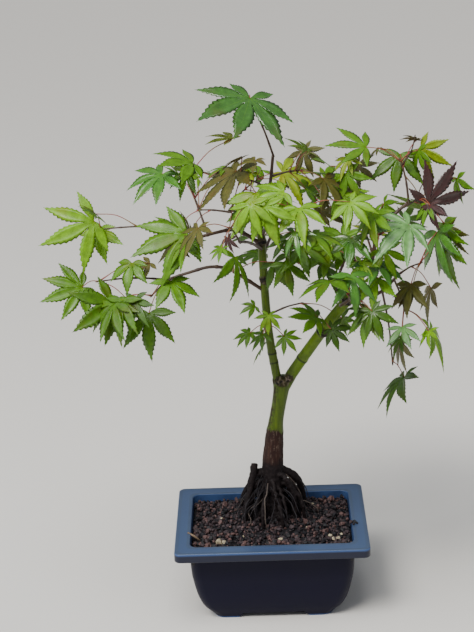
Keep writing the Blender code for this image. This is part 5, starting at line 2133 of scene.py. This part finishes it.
def leaf_finish(name, colour, roughness, gloss):
    """A mottled leaf, smoother where it is wet."""
    finish = Finish(name, colour, roughness, Specular_IOR_Level=gloss)
    mottle = finish.patches(0.32, 0.70, 150.0, 4.0, 0.65)
    blade = finish.mix(mottle, tuple(c * 0.70 for c in colour), tuple(c * 1.25 for c in colour))
    blush = finish.patches(0.54, 0.74, 38.0, 3.0, 0.6)
    red, green, blue = colour
    finish.colour(finish.mix(blush * 0.55, blade, (red * 1.15 + 0.030, green * 0.62, blue * 0.8 + 0.003)))
    wet = finish.patches(0.50, 0.62, 60.0, 2.0)
    finish.roughen(roughness - wet * 0.14)
    finish.bump(finish.grain(650.0, 3.0, 0.6), 0.00020, 0.6)
    return finish.material


def seen_pose(seen, depth, length):
    """Base, heading and length of a leaf that the picture places, at this depth."""
    ray = picture_ray(*seen.base)
    base = CAMERA_PLACE + ray * ((depth - CAMERA_PLACE.y) / ray.y)
    aim = picture_ray(*seen.tip)
    nearest = CAMERA_PLACE + aim * (base - CAMERA_PLACE).dot(aim)
    apart = (nearest - base).length
    least, most = (apart * share for share in FORESHORTENED)
    length = abs(seen.size) or min(max(least, length * SOURCE_SHARE), most)
    lean = math.copysign(math.sqrt(max(0.0, length * length - apart * apart)), seen.size)
    tip = nearest - aim * lean
    return base, (tip - base).normalized(), length


def fitting_blade(mass, index, rng):
    """The leaf's blade, moved in a little where it would stand out of the model's outline."""
    (at, middle, base), heading, normal, length, plan, fold = mass.leaves[index]
    roll = rng.uniform(-LEAF_ROLL, LEAF_ROLL)
    nod = rng.uniform(-LEAF_NOD, LEAF_NOD)
    seen = SEEN_LEAVES.get(mass.name, {}).get(index)
    if seen:
        base, heading, length = seen_pose(seen, base.y, length)
        normal = (LIGHT - heading * LIGHT.dot(heading)).normalized()
        middle = (at + base) / 2 + UP * (base - at).length * STALK_ARCH
        roll = seen.roll
        nod = 0.0
        fold *= SEEN_FOLD
    # The leaf at the apex shows seven lobes
    if mass.name == "apex":
        plan = 7
    across = normal.cross(heading).normalized()
    heading = Matrix.Rotation(math.radians(nod), 3, across) @ heading
    normal = Matrix.Rotation(math.radians(roll), 3, heading) @ heading.cross(across)
    draws = rng.getstate()
    for _ in range(5):
        rng.setstate(draws)
        blade = Blade((base, heading, normal), length, plan, fold, seen.wide if seen else 1.0, rng)
        shift = Vector((0.0, 0.0, 0.0))
        for k in range(3):
            lowest, highest = min(p[k] for p in blade.points), max(p[k] for p in blade.points)
            shift[k] = max(0.0, BOX_LOW[k] + BOX_MARGIN - lowest)
            shift[k] -= max(0.0, highest - BOX_HIGH[k] + BOX_MARGIN)
        if shift.length == 0:
            break
        base = base + shift
    tints = SPRAY_TINTS[mass.name]
    blade.tint = tints[index % len(tints)]
    blade.stalk = (at, middle, base)
    return blade


class BONSAI_OT_leaves(bpy.types.Operator):
    """Makes the leaves, joined by tint, each spray in its own tints"""

    bl_idname = "bonsai.leaves"
    bl_label = "Leaves"

    def execute(self, context):
        masses = whole_tree()[1]
        heaps = {tint: Heap() for tint in TINTS}
        stands_for = {tint: set() for tint in TINTS}
        for mass in masses:
            for blade in mass.blades:
                heap = heaps[blade.tint]
                first = len(heap.points)
                heap.add((blade.points, blade.uppers), 0)
                heap.faces.extend(tuple(first + v for v in face) for face in blade.unders)
                heap.finishes.extend([1] * len(blade.unders))
                for vein in blade.veins:
                    heap.add(vein, 2)
                stands_for[blade.tint].add("leaves_" + mass.name)
        for tint, heap in heaps.items():
            top, under, vein, roughness, gloss = TINTS[tint]
            materials = [
                leaf_finish(f"leaf_{tint}", top, roughness, gloss),
                leaf_finish(f"leaf_{tint}_underside", under, 0.65, 0.25),
                leaf_finish(f"leaf_{tint}_vein", vein, 0.65, 0.15),
            ]
            settle(heap.build(f"leaves_{tint}", materials), "leaves", *sorted(stands_for[tint]))
        return {"FINISHED"}


# Stage

FLOOR_HALF = 12.0
SKY_COLOUR = (0.88, 0.92, 1.0, 1.0)
SKY_STRENGTH = 0.34
# Soft lights: name, place, what it points at, width and height, power, colour
SOFT_LIGHTS = (
    ("overhead", (-0.2, -0.7, 2.2), (0.0, 0.0, 0.3), (1.1, 1.1), 26, (1.0, 1.0, 1.0)),
    ("window", (-1.9, -0.5, 1.3), (0.0, 0.0, 0.35), (1.2, 1.2), 14, (0.92, 0.96, 1.0)),
)
# The key light's direction, colour, power and apparent width
KEY_AIM = Vector((0.45, 0.55, -1.0))
KEY_COLOUR = (1.0, 0.97, 0.92)
KEY_POWER = 2.3
KEY_WIDTH = math.radians(24)
NEAREST_SEEN = 0.05


def soft_light(name, place, aim, size, power, colour):
    light = bpy.data.lights.new(name, "AREA")
    light.shape = "RECTANGLE"
    light.size, light.size_y = size
    light.energy = power
    light.color = colour
    lamp = bpy.data.objects.new(name, light)
    lamp.location = OFFSET + Vector(place)
    lamp.rotation_euler = (Vector(aim) - Vector(place)).to_track_quat("-Z", "Y").to_euler()
    bpy.context.scene.collection.objects.link(lamp)


class BONSAI_OT_stage(bpy.types.Operator):
    """Sets the plain floor, the soft light and the camera at the photograph's angle"""

    bl_idname = "bonsai.stage"
    bl_label = "Stage"

    def execute(self, context):
        settings = context.scene.bonsai_stage
        scene = context.scene
        floor = Heap()
        corners = [(x * FLOOR_HALF, y * FLOOR_HALF, 0) for x, y in ((-1, -1), (1, -1), (1, 1), (-1, 1))]
        floor.add((corners, [(0, 1, 2, 3)]))
        plain = Finish("floor", settings.floor, 0.9, Specular_IOR_Level=0.2)
        floor.build("floor", [plain.material])
        world = bpy.data.worlds.new("studio")
        scene.world = world
        world.use_nodes = True
        sky = world.node_tree.nodes["Background"]
        sky.inputs["Color"].default_value = SKY_COLOUR
        sky.inputs["Strength"].default_value = SKY_STRENGTH
        for light in SOFT_LIGHTS:
            soft_light(*light)
        sun = bpy.data.lights.new("key", "SUN")
        sun.energy = KEY_POWER
        sun.angle = KEY_WIDTH
        sun.color = KEY_COLOUR
        lamp = bpy.data.objects.new("key", sun)
        lamp.rotation_euler = KEY_AIM.to_track_quat("-Z", "Y").to_euler()
        scene.collection.objects.link(lamp)
        data = bpy.data.cameras.new("camera")
        data.sensor_width = SENSOR
        data.lens = FOCAL_PIXELS * SENSOR / PICTURE_SIZE[1]
        data.clip_start = NEAREST_SEEN
        camera = bpy.data.objects.new("camera", data)
        scene.collection.objects.link(camera)
        right, upward, forward = camera_axes()
        pose = Matrix((right, upward, -forward)).transposed().to_4x4()
        pose.translation = CAMERA_PLACE + OFFSET
        camera.matrix_world = pose
        scene.camera = camera
        return {"FINISHED"}


class BONSAI_PT_pieces(bpy.types.Panel):
    """Lists the pieces of the bonsai and their settings"""

    bl_label = "Maple Bonsai"
    bl_space_type = "VIEW_3D"
    bl_region_type = "UI"
    bl_category = "Bonsai"

    def draw(self, context):
        for operator in OPERATORS:
            self.layout.operator(operator.bl_idname)
        for name, group in SETTINGS.items():
            box = self.layout.box()
            box.label(text=name.replace("bonsai_", "").capitalize())
            for setting in group.__annotations__:
                box.prop(getattr(context.scene, name), setting)


OPERATORS = (
    BONSAI_OT_pot,
    BONSAI_OT_gravel,
    BONSAI_OT_bark,
    BONSAI_OT_fibres,
    BONSAI_OT_twigs,
    BONSAI_OT_leaves,
    BONSAI_OT_stage,
)


def register():
    for made in (*SETTINGS.values(), *OPERATORS, BONSAI_PT_pieces):
        bpy.utils.register_class(made)
    for name, group in SETTINGS.items():
        setattr(bpy.types.Scene, name, PointerProperty(type=group))


def unregister():
    for name in SETTINGS:
        delattr(bpy.types.Scene, name)
    for made in reversed((*SETTINGS.values(), *OPERATORS, BONSAI_PT_pieces)):
        bpy.utils.unregister_class(made)


def main():
    register()
    bpy.ops.bonsai.pot()
    bpy.ops.bonsai.gravel()
    bpy.ops.bonsai.bark()
    bpy.ops.bonsai.fibres()
    bpy.ops.bonsai.twigs()
    bpy.ops.bonsai.leaves()
    bpy.ops.bonsai.stage()
    bpy.context.view_layer.update()


if __name__ == "__main__":
    main()
